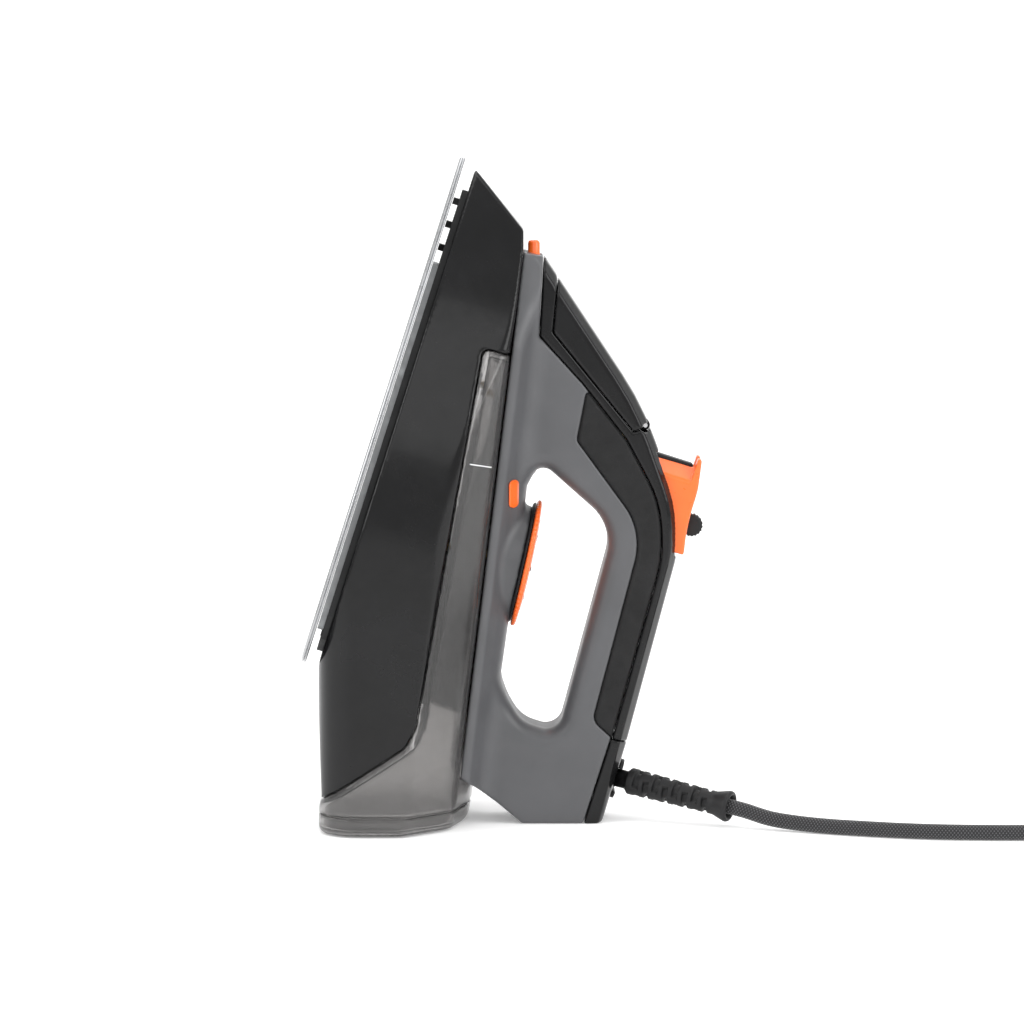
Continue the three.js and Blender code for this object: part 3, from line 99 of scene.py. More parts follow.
# ---------------------------------------------------------------- sizes, in the iron's millimetres
SOLE_LENGTH = 240
SOLE_HALF_WIDTH = 60
SOLE_WIDEST_X = 60
TIP_BLUNT = 1.9           # powers of the curve from the widest place to the tip
TIP_SIDE = 0.9
VENT_SHARE = 0.62         # the vents' rows, as a share of the half width
HEEL_BACK = 80            # rear of the sole to the heel plane, along the sole
BODY_OVERHANG = 2
PANEL_WALL = 2.4
TANK_WALL = 2.0
TANK_FLOOR_Z = 27
TANK_FRONT_X = 196
FOOT_HALF_DEPTH = 34
FOOT_CORNER = 20
FOOT_SEAM = 9
HANDLE_HALF_WIDTH = 18
HANDLE_ROUND = 8
HANDLE_FRONT = (208, 40.5)
HANDLE_SLOPE = -0.19
SADDLE_HALF_WIDTH = 33
HANDLE_WALL = 2.6
REAR_COVER_Z = 146.5
LID_HINGE = (149.3, 117.6)
DIAL_SPOT = (71.5, 84.2)
DIAL_RADIUS = 29.5
DIAL_TILT = math.radians(5)
SEAM = 0.35
CORD_RADIUS = 3.5

FOOT_DROP = 76.2129          # height of the sole's rear end over the standing surface
FOOT_BACK = -42.8575


def heel_x(z):
    """Where the heel plane is at a height z."""
    return -HEEL_BACK + z * math.tan(HEEL_TILT)


def edge_z(x):
    """Height of the handle's lower edge: a straight line falling forward."""
    return HANDLE_FRONT[1] + HANDLE_SLOPE * (x - HANDLE_FRONT[0])


def sole_half_width(x):
    """Half width of the sole: a squared rear, |1 - a^4|^(1/4), and a blunt curve to the tip."""
    x = np.clip(np.asarray(x, float), 0, SOLE_LENGTH)
    rear = np.abs(1 - (np.clip(SOLE_WIDEST_X - x, 0, None) / SOLE_WIDEST_X) ** 4) ** 0.25
    ahead = np.clip(x - SOLE_WIDEST_X, 0, None) / (SOLE_LENGTH - SOLE_WIDEST_X)
    return SOLE_HALF_WIDTH * rear * np.abs(1 - ahead ** TIP_BLUNT) ** TIP_SIDE


# ---------------------------------------------------------------- outlines in the side view
def rounded(corners, step=math.radians(7)):
    """Points round a closed outline whose corners are (a, b, radius), each corner an arc."""
    corners = [tuple(c) + (0,) * (3 - len(c)) for c in corners]
    out = []
    for i, (a, b, radius) in enumerate(corners):
        p = np.array([a, b], float)
        before = p - np.array(corners[i - 1][:2])
        after = np.array(corners[(i + 1) % len(corners)][:2]) - p
        reach = 0.49 * min(np.hypot(*before), np.hypot(*after))
        before, after = before / np.hypot(*before), after / np.hypot(*after)
        cross = before[0] * after[1] - before[1] * after[0]
        angle = math.atan2(abs(cross), float(before @ after))
        if radius == 0 or angle < 0.02:
            out.append(p[None])
            continue
        radius = min(radius, reach / math.tan(angle / 2))
        start = p - before * radius * math.tan(angle / 2)
        side = math.copysign(1, cross)
        centre = start + np.array([-before[1], before[0]]) * side * radius
        t = np.linspace(0, angle, max(2, int(angle / step) + 2)) * side
        r = start - centre
        arc = np.stack([r[0] * np.cos(t) - r[1] * np.sin(t), r[0] * np.sin(t) + r[1] * np.cos(t)], 1)
        out.append(centre + arc)
    return np.concatenate(out)


BODY_OPEN = rounded([
    (0, -30), (262, -30), (217.5, 37.5, 3), (208, edge_z(208)), (-18, edge_z(-18)),
    (-30, 95, 8), (heel_x(96), 96, 6), (heel_x(28), 28, 6), (-53, 27.5, 2),
])
BODY_SIDE = rounded([
    (0, 8), (237, 8, 1), (217.5, 37.5, 3), (208, edge_z(208)), (-18, edge_z(-18)),
    (-30, 95, 8), (heel_x(96), 96, 6), (heel_x(28), 28, 6), (-53, 27.5, 2),
])
WINDOW_SIDE = rounded([
    (162.5, 36, 3), (163.5, 70), (60, 140), (-140, 140), (-140, 0), (-76, 10),
    (-18.5, 57, 9), (-8, 58.6, 9), (70, 48, 120),
])
HANDLE_SIDE = rounded([
    (208, 40.5), (209, 50.5, 1.5), (158, 114, 140), (119, 143.5, 60), (98, 150, 40),
    (8, 154.5), (heel_x(154.5), 154.5, 2), (heel_x(119.5), 119.5, 3), (-28, edge_z(-28)),
])
HANDLE_BACK = rounded([
    (232, 22), (158, 114, 140), (119, 143.5, 60), (98, 150, 40), (8, 154.5), (-70, 158.5), (-70, 20),
])
FINGER_LOOP = rounded([
    (119, 77.5, 7), (107, 73.2, 3), (100, 74.6), (17, 88.5, 14), (2.3, 105, 16), (2.2, 122.7, 8),
    (101, 118, 22),
])
COVER_SIDE = rounded([
    (240, 42), (174, 59, 1.5), (159.5, 84.3), (141, 111.5, 8), (119, 134, 50), (96, 143.3, 60), (8, 147),
    (-100, 147), (-100, 220), (240, 220),
])
GRIP_SIDE = rounded([
    (157, 86.9, 1), (133.8, 89.6, 4), (103.5, 131, 30), (13.5, 135.8, 6), (8.5, 146.6, 0.6),
    (96, 142.9, 60), (118.6, 133.6, 50), (140.6, 111.2),
])
LID_SIDE = rounded([
    (202.5, 59, 0.5), (177.5, 64.4, 2), (145.6, 113, 1), LID_HINGE, (158, 125.3), (230, 90),
])
TANK_KEEP = [
    (TANK_FRONT_X, TANK_FLOOR_Z), (TANK_FRONT_X, 130), (-140, 130), (-140, -20), (-52, -20),
    (-38, TANK_FLOOR_Z),
]
SADDLE_SIDE = [
    (-28, edge_z(-28)), (208, 40.5), (208, 160), (heel_x(160), 160), (heel_x(119.5), 119.5),
]


# ---------------------------------------------------------------- distances
def inside(outline, a, b):
    """Signed distance in the plane to a closed outline, negative inside: nearest edge, even-odd sign."""
    outline = np.asarray(outline, float)
    a, b = np.broadcast_arrays(a, b)
    best = np.full(a.shape, 1e9)
    odd = np.zeros(a.shape, bool)
    for (x0, y0), (x1, y1) in zip(outline, np.roll(outline, -1, 0)):
        ex, ey = x1 - x0, y1 - y0
        t = np.clip(((a - x0) * ex + (b - y0) * ey) / max(ex * ex + ey * ey, 1e-12), 0, 1)
        best = np.minimum(best, (a - x0 - t * ex) ** 2 + (b - y0 - t * ey) ** 2)
        if y0 != y1:
            odd ^= ((y0 > b) != (y1 > b)) & (a < x0 + ex * (b - y0) / ey)
    return np.sqrt(best) * np.where(odd, -1, 1)


def both(p, q, k=0.9):
    """Intersection of two solids, its edge rounded over k: max(p, q) with a quadratic blend."""
    h = np.clip(k - np.abs(p - q), 0, None) / k
    return np.maximum(p, q) + h * h * k / 4


def either(p, q, k=0.9):
    """Union of two solids, blended over k."""
    return -both(-p, -q, k)


def cut(p, q, k=0.9):
    """The first solid without the second."""
    return both(p, -q, k)


def crowned(p, q, r):
    """Intersection of two solids whose meeting edge is a full round of radius r."""
    a, b = np.maximum(p + r, 0), np.maximum(q + r, 0)
    return np.sqrt(a * a + b * b) - r + np.minimum(np.maximum(p + r, q + r), 0)


def bar(a, b, c, start, end, radius):
    """Distance to a cylinder between two points."""
    start, end = np.array(start, float), np.array(end, float)
    length = np.linalg.norm(end - start)
    u = (end - start) / length
    along = (a - start[0]) * u[0] + (b - start[1]) * u[1] + (c - start[2]) * u[2]
    square = (a - start[0]) ** 2 + (b - start[1]) ** 2 + (c - start[2]) ** 2 - along ** 2
    return np.maximum(np.sqrt(np.maximum(square, 0)) - radius, np.abs(along - length / 2) - length / 2)


def brick(a, b, c, low, high):
    """Distance to a box between two corners."""
    parts = [np.maximum(lo - v, v - hi) for v, lo, hi in zip((a, b, c), low, high)]
    return np.maximum(np.maximum(parts[0], parts[1]), parts[2])


# ---------------------------------------------------------------- forms
ROOF_HEIGHTS = rounded([(0, 7), (12, 5.6, 60), (38, -1.5, 18), (57, -22, 12), (70, -36)])[:-1]
SADDLE_HEIGHTS = rounded([(0, 13), (16, 13, 12), (32, 3.5, 6), (36, -12)])[:-1]


def under(heights, y, h):
    """Distance to the ground under a line of heights over |y|: vertical gap over the slope's length."""
    width = np.abs(y)
    slope = (np.interp(width + 0.5, *heights.T) - np.interp(width - 0.5, *heights.T))
    return (h - np.interp(width, *heights.T)) / np.sqrt(1 + slope * slope)


def body_form(x, y, z, inset=0.0, side=None):
    """The body: side view, plan, crowned roof and the rounded heel, all meeting in soft edges."""
    side = inside(BODY_SIDE if side is None else side, x, z) + inset
    plan = np.abs(y) - np.where(x > SOLE_WIDEST_X, sole_half_width(x), SOLE_HALF_WIDTH) + BODY_OVERHANG
    slope = np.where(x > SOLE_WIDEST_X, (sole_half_width(x + 1) - sole_half_width(x - 1)) / 2, 0)
    plan = plan / np.sqrt(1 + slope * slope) + inset
    roof = under(ROOF_HEIGHTS, y, z - edge_z(x)) + inset
    across = FOOT_BACK + math.sin(HEEL_TILT) * x + math.cos(HEEL_TILT) * z
    flank = np.abs(y) - SOLE_HALF_WIDTH + BODY_OVERHANG
    heel = crowned(-FOOT_HALF_DEPTH - across + 0 * y, flank, FOOT_CORNER) + inset
    return both(both(both(side, plan, 1.6), roof, 2.4), heel, 1.0)


def foot_height(x, z):
    """Height over the surface that the iron stands on."""
    return FOOT_DROP + math.cos(HEEL_TILT) * x - math.sin(HEEL_TILT) * z


def handle_form(x, y, z):
    """The handle: its back's outline with long facets, and the finger loop with full rounds."""
    flank = np.abs(y) - HANDLE_HALF_WIDTH
    back = inside(HANDLE_BACK, x, z)
    facet = (flank + 1.9 * (back + 4.2)) / math.hypot(1, 1.9)
    back = both(both(back, flank, 1.2), facet, 1.0)
    loop = crowned(-inside(FINGER_LOOP, x, z), flank, HANDLE_ROUND)
    return both(both(back, loop, 1.5), inside(HANDLE_SIDE, x, z), 1.4)


def saddle_form(x, y, z, inset=0.0):
    """The handle's spread foot: a rounded section carried along the handle's lower edge."""
    width = np.minimum(SADDLE_HALF_WIDTH, sole_half_width(np.maximum(x, SOLE_WIDEST_X) + 10) - 3)
    form = both(under(SADDLE_HEIGHTS, y, z - edge_z(x)), np.abs(y) - width, 4.0)
    return both(form, inside(SADDLE_SIDE, x, z), 0.6) + inset


DIAL_AIM = np.array([math.sin(DIAL_TILT), 0, math.cos(DIAL_TILT)])


def dial_point(up):
    """A point on the dial's axis, up from its spot."""
    return np.array([DIAL_SPOT[0], 0, DIAL_SPOT[1]]) + DIAL_AIM * up


def hand_form(x, y, z):
    """Handle, saddle and dial pedestal run together with soft blends, open at the finger loop."""
    saddle = cut(saddle_form(x, y, z), inside(FINGER_LOOP, x, z), 3.0)
    stand_disc = bar(x, y, z, dial_point(-14), dial_point(-1.9), 26)
    form = either(either(handle_form(x, y, z), saddle, 7.0), stand_disc, 3.0)
    return both(form, inside(HANDLE_SIDE, x, z) + 0.1, 0.6)


def cavity(x, y, z):
    """The hollow inside the handle and its saddle, all round the finger loop."""
    loop = HANDLE_WALL - inside(FINGER_LOOP, x, z)
    core = both(inside(HANDLE_SIDE, x, z) + HANDLE_WALL, np.abs(y) - 12.4, 1.0)
    foot = saddle_form(x, y, z, HANDLE_WALL)
    return both(either(core, foot, 1.0), loop, 1.0)


# ---------------------------------------------------------------- from a distance to a mesh
CORNERS = np.array([(i, j, k) for i in (0, 1) for j in (0, 1) for k in (0, 1)])
EDGES = [(a, b) for a in range(8) for b in range(8) if a < b and np.abs(CORNERS[a] - CORNERS[b]).sum() == 1]


def skin(form, low, high, step):
    """Vertices and quads of form = 0: one vertex a crossed cell, at the mean of its edges' crossings.

    The vertices are then moved onto the surface along the form's gradient.
    """
    axes = [np.arange(lo - step, hi + 2 * step, step) for lo, hi in zip(low, high)]
    x, y, z = np.meshgrid(*axes, indexing="ij", sparse=True)
    values = np.broadcast_to(form(x, y, z), [len(v) for v in axes]).astype(np.float32)
    solid = values < 0
    cells = np.zeros([n - 1 for n in values.shape], np.int8)
    for i, j, k in CORNERS:
        cells += solid[i:i + cells.shape[0], j:j + cells.shape[1], k:k + cells.shape[2]]
    where = np.argwhere((cells > 0) & (cells < 8))
    corner = np.stack([values[tuple((where + c).T)] for c in CORNERS], 1).astype(float)
    total, count = np.zeros((len(where), 3)), np.zeros((len(where), 1))
    for a, b in EDGES:
        va, vb = corner[:, a], corner[:, b]
        crossed = ((va < 0) != (vb < 0))[:, None]
        t = (va / np.where(va == vb, 1, va - vb))[:, None]
        total += np.where(crossed, CORNERS[a] + t * (CORNERS[b] - CORNERS[a]), 0)
        count += crossed
    start = np.array([v[0] for v in axes])
    points = start + (where + total / count) * step
    number = np.full(cells.shape, -1, np.int32)
    number[tuple(where.T)] = np.arange(len(where))
    quads = []
    for axis in range(3):
        one, two = [a for a in range(3) if a != axis]
        ahead = np.argwhere(np.diff(solid.astype(np.int8), axis=axis) != 0)
        ahead = ahead[(ahead[:, one] > 0) & (ahead[:, two] > 0)]
        inner = solid[tuple(ahead.T)]
        d1, d2 = np.eye(3, dtype=int)[one], np.eye(3, dtype=int)[two]
        ring = [number[tuple((ahead - s).T)] for s in (0 * d1, d1, d1 + d2, d2)]
        quad = np.stack(ring, 1)
        flip = inner if axis != 1 else ~inner
        quads.append(np.where(flip[:, None], quad, quad[:, ::-1]))
    for _ in range(2):
        points = pulled(form, points, step)
    return points, np.concatenate(quads)


def pulled(form, points, step):
    """Points moved down the form's gradient to where it is zero, at most a third of a cell."""
    def value(p):
        return form(p[:, 0], p[:, 1], p[:, 2])
    h = 0.02
    slope = np.stack([value(points + h * e) - value(points - h * e) for e in np.eye(3)], 1) / (2 * h)
    size = np.maximum((slope ** 2).sum(1), 0.2)
    move = -(value(points) / size)[:, None] * slope
    length = np.linalg.norm(move, axis=1, keepdims=True)
    return points + move * np.minimum(1, step / 3 / np.maximum(length, 1e-9))


def add_mesh(name, points, faces, smooth=True):
    """A new piece from row-frame points in metres and an array of faces."""
    mesh = bpy.data.meshes.new(name)
    mesh.from_pydata(points.tolist(), [], faces.tolist())
    mesh.polygons.foreach_set("use_smooth", np.full(len(mesh.polygons), smooth))
    mesh.update()
    piece = bpy.data.objects.new(name, mesh)
    bpy.context.scene.collection.objects.link(piece)
    return piece


def formed(name, form, low, high, step):
    """A piece whose surface is where form is zero."""
    points, quads = skin(form, low, high, step)
    return add_mesh(name, stand(points), quads)


# ---------------------------------------------------------------- grids, turned pieces and tubes
def grid_faces(rows, columns, around=False, ring=False):
    """Quads of a rows x columns grid; around closes the columns, ring closes the rows too."""
    i, j = np.meshgrid(np.arange(rows if ring else rows - 1),
                       np.arange(columns if around else columns - 1), indexing="ij")
    n, m = (i + 1) % rows, (j + 1) % columns
    quad = np.stack([i * columns + j, i * columns + m, n * columns + m, n * columns + j], -1)
    return quad.reshape(-1, 4)


def finished(piece, body, material, nodes):
    """Welds the piece, turns its faces outwards, gives it its body and finish, and hides the CAD nodes it
    takes the place of.
    """
    mesh = bmesh.new()
    mesh.from_mesh(piece.data)
    bmesh.ops.remove_doubles(mesh, verts=mesh.verts, dist=2e-6)
    bmesh.ops.dissolve_degenerate(mesh, edges=mesh.edges, dist=1e-7)
    bmesh.ops.recalc_face_normals(mesh, faces=mesh.faces)
    if mesh.calc_volume(signed=True) < 0:
        bmesh.ops.reverse_faces(mesh, faces=mesh.faces)
    mesh.to_mesh(piece.data)
    mesh.free()
    piece.data.materials.append(material)
    if body:
        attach(piece, body)
    if nodes:
        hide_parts(*nodes)


def frame_of(aim):
    """Two unit vectors across a direction, the first as near the iron's y as it gets."""
    aim = np.asarray(aim, float) / np.linalg.norm(aim)
    side = np.array([0.0, 1.0, 0.0]) - aim * aim[1]
    if np.linalg.norm(side) < 0.3:
        side = np.array([1.0, 0.0, 0.0]) - aim * aim[0]
    side /= np.linalg.norm(side)
    return aim, side, np.cross(aim, side)


def turned_points(profile, base, aim, sides=64, ripple=None):
    """A turned surface: profile radius r and height h round an aim; ripple(angle, h) adds to the radius."""
    profile = np.asarray(profile, float)
    aim, one, two = frame_of(aim)
    angle = np.linspace(0, 2 * np.pi, sides, endpoint=False)
    radius = np.repeat(profile[:, :1], sides, 1)
    if ripple is not None:
        radius = radius + ripple(angle[None, :], profile[:, 1:2]) * (radius > 1e-6)
    points = (np.asarray(base, float) + profile[:, 1, None, None] * aim
              + (radius * np.cos(angle))[..., None] * one + (radius * np.sin(angle))[..., None] * two)
    return points.reshape(-1, 3)


def lathe(name, profile, base, aim, sides=64, ripple=None):
    """A turned piece in the iron's frame."""
    points = turned_points(profile, base, aim, sides, ripple)
    return add_mesh(name, stand(points), grid_faces(len(profile), sides, around=True))


def smooth_path(corners, spacing):
    """A Catmull-Rom curve through the points, resampled at even spacing."""
    p = np.asarray(corners, float)
    p = np.concatenate([2 * p[:1] - p[1:2], p, 2 * p[-1:] - p[-2:-1]])
    t = np.linspace(0, 1, 24, endpoint=False)[None, :, None]
    a, b, c, d = (p[i:len(p) - 3 + i, None] for i in range(4))
    curve = 0.5 * (2 * b + (c - a) * t + (2 * a - 5 * b + 4 * c - d) * t ** 2
                   + (3 * b - a - 3 * c + d) * t ** 3)
    curve = np.concatenate([curve.reshape(-1, 3), p[-2:-1]])
    return even(curve, spacing)


def even(curve, spacing):
    """The same polyline, resampled at even steps."""
    run = np.concatenate([[0], np.cumsum(np.linalg.norm(np.diff(curve, axis=0), axis=1))])
    steps = max(2, int(round(run[-1] / spacing)) + 1)
    at = np.linspace(0, run[-1], steps)
    return np.stack([np.interp(at, run, curve[:, k]) for k in range(3)], 1)


def path_frames(path, up=(0.0, 0.0, 1.0)):
    """Tangents and two normals along a path, the second normal kept as near up as it gets."""
    tangent = np.gradient(path, axis=0)
    tangent /= np.linalg.norm(tangent, axis=1, keepdims=True)
    one = np.cross(np.asarray(up, float)[None], tangent)
    one /= np.maximum(np.linalg.norm(one, axis=1, keepdims=True), 1e-9)
    return tangent, one, np.cross(tangent, one)


def tube(name, path, radius, sides, up=(0.0, 0.0, 1.0)):
    """A round tube along row-frame points in metres; radius is one value or one for each point.

    Its map "along" holds the distance along the tube and the way round it, in millimetres.
    """
    radius = np.broadcast_to(radius, len(path))
    _, one, two = path_frames(path, up)
    angle = np.linspace(0, 2 * np.pi, sides, endpoint=False)[None, :, None]
    spokes = np.cos(angle) * one[:, None] + np.sin(angle) * two[:, None]
    ring = path[:, None] + radius[:, None, None] * spokes
    points = np.concatenate([path[:1], ring.reshape(-1, 3), path[-1:]])
    body = grid_faces(len(path), sides, around=True) + 1
    j = np.arange(sides)
    k = (j + 1) % sides
    last = (len(path) - 1) * sides + 1
    first_cap = np.stack([0 * j, k + 1, j + 1], 1)
    last_cap = np.stack([0 * j + len(points) - 1, last + j, last + k], 1)
    mesh = bpy.data.meshes.new(name)
    mesh.from_pydata(points.tolist(), [], body.tolist() + first_cap.tolist() + last_cap.tolist())
    mesh.polygons.foreach_set("use_smooth", np.ones(len(mesh.polygons), bool))
    run = np.concatenate([[0], np.cumsum(np.linalg.norm(np.diff(path, axis=0), axis=1))]) * 1000
    rows, columns = np.divmod(np.arange(len(body)), sides)
    u = np.stack([run[rows], run[rows], run[rows + 1], run[rows + 1]], 1)
    v = np.stack([columns, columns + 1, columns + 1, columns], 1) / sides * 2 * np.pi * 1000 * radius.mean()
    uv = np.stack([u, v], -1).reshape(-1, 2)
    layer = mesh.uv_layers.new(name="along")
    caps = np.zeros((6 * sides, 2))
    layer.data.foreach_set("uv", np.concatenate([uv, caps]).ravel())
    mesh.update()
    piece = bpy.data.objects.new(name, mesh)
    bpy.context.scene.collection.objects.link(piece)
    return piece


# ---------------------------------------------------------------- finishes
def finish_of(name, colour, roughness, metallic=0.0, **sockets):
    """A new material; its surface shader, nodes and links come back for the detail."""
    material = bpy.data.materials.new(name)
    material.use_nodes = True
    nodes, links = material.node_tree.nodes, material.node_tree.links
    shader = nodes["Principled BSDF"]
    shader.inputs["Base Color"].default_value = (*colour, 1)
    shader.inputs["Roughness"].default_value = roughness
    shader.inputs["Metallic"].default_value = metallic
    for socket, value in sockets.items():
        shader.inputs[socket.replace("_", " ")].default_value = value
    return material, shader, nodes, links


def coordinates(nodes, links, scale=(1, 1, 1), turn=(0, 0, 0), source="Object"):
    """Coordinates of the piece, scaled and turned."""
    place = nodes.new("ShaderNodeTexCoord")
    mapping = nodes.new("ShaderNodeMapping")
    mapping.inputs["Scale"].default_value = scale
    mapping.inputs["Rotation"].default_value = turn
    links.new(place.outputs[source], mapping.inputs["Vector"])
    return mapping.outputs["Vector"]


def noise(nodes, links, vector, scale, detail=3.0, rough=0.5):
    """Cloudy noise of a given scale, from 0 to 1."""
    texture = nodes.new("ShaderNodeTexNoise")
    texture.inputs["Scale"].default_value = scale
    texture.inputs["Detail"].default_value = detail
    texture.inputs["Roughness"].default_value = rough
    links.new(vector, texture.inputs["Vector"])
    return texture.outputs["Fac"]


def ramp(nodes, links, value, low, high, stops=(0.3, 0.7)):
    """A colour between low and high, by value."""
    band = nodes.new("ShaderNodeValToRGB")
    band.color_ramp.elements[0].position, band.color_ramp.elements[1].position = stops
    band.color_ramp.elements[0].color = (*low, 1)
    band.color_ramp.elements[1].color = (*high, 1)
    links.new(value, band.inputs["Fac"])
    return band.outputs["Color"]


def span(nodes, links, value, low, high, stops=(0.3, 0.7)):
    """A number between low and high, by value."""
    change = nodes.new("ShaderNodeMapRange")
    change.inputs["From Min"].default_value, change.inputs["From Max"].default_value = stops
    change.inputs["To Min"].default_value, change.inputs["To Max"].default_value = low, high
    links.new(value, change.inputs["Value"])
    return change.outputs["Result"]


def bump(nodes, links, shader, height, distance, strength=1.0):
    """Fine relief on a shader: height times distance, in metres."""
    lift = nodes.new("ShaderNodeBump")
    lift.inputs["Distance"].default_value = distance
    lift.inputs["Strength"].default_value = strength
    links.new(height, lift.inputs["Height"])
    links.new(lift.outputs["Normal"], shader.inputs["Normal"])


def moulded(name, low, high, rough, grain, depth, **sockets):
    """Moulded plastic: slightly uneven colour, grain in the surface, and gloss that varies with handling."""
    material, shader, nodes, links = finish_of(name, high, rough[0], **sockets)
    place = coordinates(nodes, links)
    cloud = noise(nodes, links, place, 45, 4)
    links.new(ramp(nodes, links, cloud, low, high), shader.inputs["Base Color"])
    wear = noise(nodes, links, place, 160, 5, 0.6)
    links.new(span(nodes, links, wear, rough[0], rough[1]), shader.inputs["Roughness"])
    bump(nodes, links, shader, noise(nodes, links, place, grain, 2), depth)
    return material


BLACK_GLOSS = moulded("gloss_black_plastic", (0.0050, 0.0050, 0.0052), (0.0075, 0.0075, 0.0080),
                      (0.11, 0.2), 900, 0.00001, Specular_IOR_Level=0.22, Coat_Weight=0.06,
                      Coat_Roughness=0.06)
BLACK_SATIN = moulded("satin_black_plastic", (0.008, 0.008, 0.0086), (0.013, 0.013, 0.0138),
                      (0.42, 0.55), 3500, 0.00003, Specular_IOR_Level=0.3)
GREY = moulded("grey_satin_plastic", (0.078, 0.079, 0.083), (0.092, 0.093, 0.098), (0.34, 0.44), 5200,
               0.000025, Specular_IOR_Level=0.4)
ORANGE = moulded("orange_plastic", (0.90, 0.130, 0.012), (0.96, 0.155, 0.018), (0.26, 0.36), 2600, 0.000012,
                 Subsurface_Weight=0.06, Subsurface_Scale=0.002, Coat_Weight=0.2, Coat_Roughness=0.12)
RUBBER = moulded("soft_grip_rubber", (0.0055, 0.0055, 0.0058), (0.0095, 0.0095, 0.0099), (0.56, 0.72), 2400,
                 0.00008, Specular_IOR_Level=0.3, Sheen_Weight=0.05, Sheen_Roughness=0.5)
CERAMIC = moulded("ivory_ceramic", (0.62, 0.58, 0.50), (0.72, 0.69, 0.62), (0.5, 0.65), 1500, 0.00003)


def make_smoke(name, colour, rough):
    """Smoked clear plastic: see-through, with faint flow clouds and a little haze in its gloss."""
    material, shader, nodes, links = finish_of(name, colour, rough[0], IOR=1.45, Transmission_Weight=0.93)
    place = coordinates(nodes, links)
    haze = noise(nodes, links, place, 28, 4)
    links.new(ramp(nodes, links, haze, tuple(0.93 * c for c in colour), colour), shader.inputs["Base Color"])
    links.new(span(nodes, links, noise(nodes, links, place, 210, 4), rough[0], rough[1]),
              shader.inputs["Roughness"])
    bump(nodes, links, shader, noise(nodes, links, place, 700, 2), 0.000012)
    return material


SMOKE = make_smoke("smoked_clear_plastic", (0.40, 0.39, 0.385), (0.12, 0.22))
INNER_GREY = moulded("inner_grey_plastic", (0.055, 0.060, 0.070), (0.070, 0.076, 0.086), (0.4, 0.52), 1800,
                     0.00004)
PRINT = moulded("printed_white", (0.70, 0.70, 0.70), (0.78, 0.78, 0.78), (0.5, 0.6), 3000, 0.000005)
LENS = make_smoke("dark_lens", (0.35, 0.10, 0.06), (0.06, 0.12))


def make_metal(name, colour, rough, brush, depth, grain=600):
    """Metal with a drawn grain along the part and clouded gloss."""
    material, shader, nodes, links = finish_of(name, colour, rough[0], 1.0)
    drawn = coordinates(nodes, links, brush)
    streak = noise(nodes, links, drawn, grain, 3)
    links.new(ramp(nodes, links, streak, tuple(0.86 * c for c in colour), colour),
              shader.inputs["Base Color"])
    links.new(span(nodes, links, streak, rough[0], rough[1]), shader.inputs["Roughness"])
    bump(nodes, links, shader, streak, depth)
    return material


SOLE_METAL = make_metal("polished_sole", (0.42, 0.425, 0.435), (0.22, 0.36), (0.3, 1, 0.12), 0.000006)
CAST = make_metal("cast_aluminium", (0.46, 0.47, 0.48), (0.42, 0.6), (1, 1, 1), 0.00006, 420)
STEEL = make_metal("bright_steel", (0.62, 0.62, 0.63), (0.2, 0.36), (1, 1, 0.4), 0.000008, 900)
BRASS = make_metal("brass", (0.68, 0.47, 0.20), (0.24, 0.4), (1, 1, 0.3), 0.000008, 900)


def make_braid():
    """Braided textile: two sets of yarn that cross, each rounded; its colour is painted shade in the dips
    between the yarns and a painted highlight where they cross on top.
    """
    material, shader, nodes, links = finish_of("braided_textile", (0.03, 0.03, 0.032), 0.8,
                                               Sheen_Weight=0.35, Sheen_Roughness=0.4)
    heights = []
    colours = []
    for turn in (math.radians(38), -math.radians(38)):
        vector = coordinates(nodes, links, (1, 1, 1), (0, 0, turn), "UV")
        wave = nodes.new("ShaderNodeTexWave")
        wave.wave_profile = "SIN"
        wave.inputs["Scale"].default_value = 0.26
        wave.inputs["Distortion"].default_value = 0.4
        wave.inputs["Detail"].default_value = 1
        links.new(vector, wave.inputs["Vector"])
        heights.append(wave.outputs["Fac"])
        colours.append(wave.outputs["Color"])
    crossing = nodes.new("ShaderNodeMath")
    crossing.operation = "MULTIPLY"
    links.new(heights[0], crossing.inputs[0])
    links.new(heights[1], crossing.inputs[1])
    # Painted shade and highlight: the yarns' height sets the colour, darkest in the dips between them and
    # lightest on the crossings.
    links.new(ramp(nodes, links, crossing.outputs["Value"], (0.010, 0.010, 0.011), (0.085, 0.085, 0.09),
                   (0.12, 0.85)), shader.inputs["Base Color"])
    bump(nodes, links, shader, crossing.outputs["Value"], 0.0003, 0.8)
    return material


BRAID = make_braid()

# ---------------------------------------------------------------- soleplate
VENTS = np.array([(30 + 21 * i, side * VENT_SHARE * sole_half_width(30 + 21 * i))
                  for i in range(9) for side in (-1, 1)])
SOLE_EDGE = np.array([
    (1.5, 0.0), (0.8, 0.12), (0.3, 0.45), (0.06, 0.85), (0.0, 1.1), (0.1, 1.28), (0.5, 1.36), (0.5, 1.58),
    (0.1, 1.66), (0.0, 1.85), (0.05, 2.2), (0.3, 2.48), (0.8, 2.6),
])


def vents_and_channel(x, y):
    """Depth pressed into the ironing face: round steam vents, and a shallow channel that joins them."""
    away = np.sqrt(((x[..., None] - VENTS[:, 0]) ** 2 + (y[..., None] - VENTS[:, 1]) ** 2).min(-1))
    vent = 1.5 * np.clip((2.2 - away) / 0.7, 0, 1)
    beside = np.abs(np.abs(y) - VENT_SHARE * sole_half_width(x))
    ends = np.clip((x - 22) / 6, 0, 1) * np.clip((206 - x) / 6, 0, 1)
    return np.maximum(vent, 0.4 * ends * np.clip((3.6 - beside) / 1.2, 0, 1))


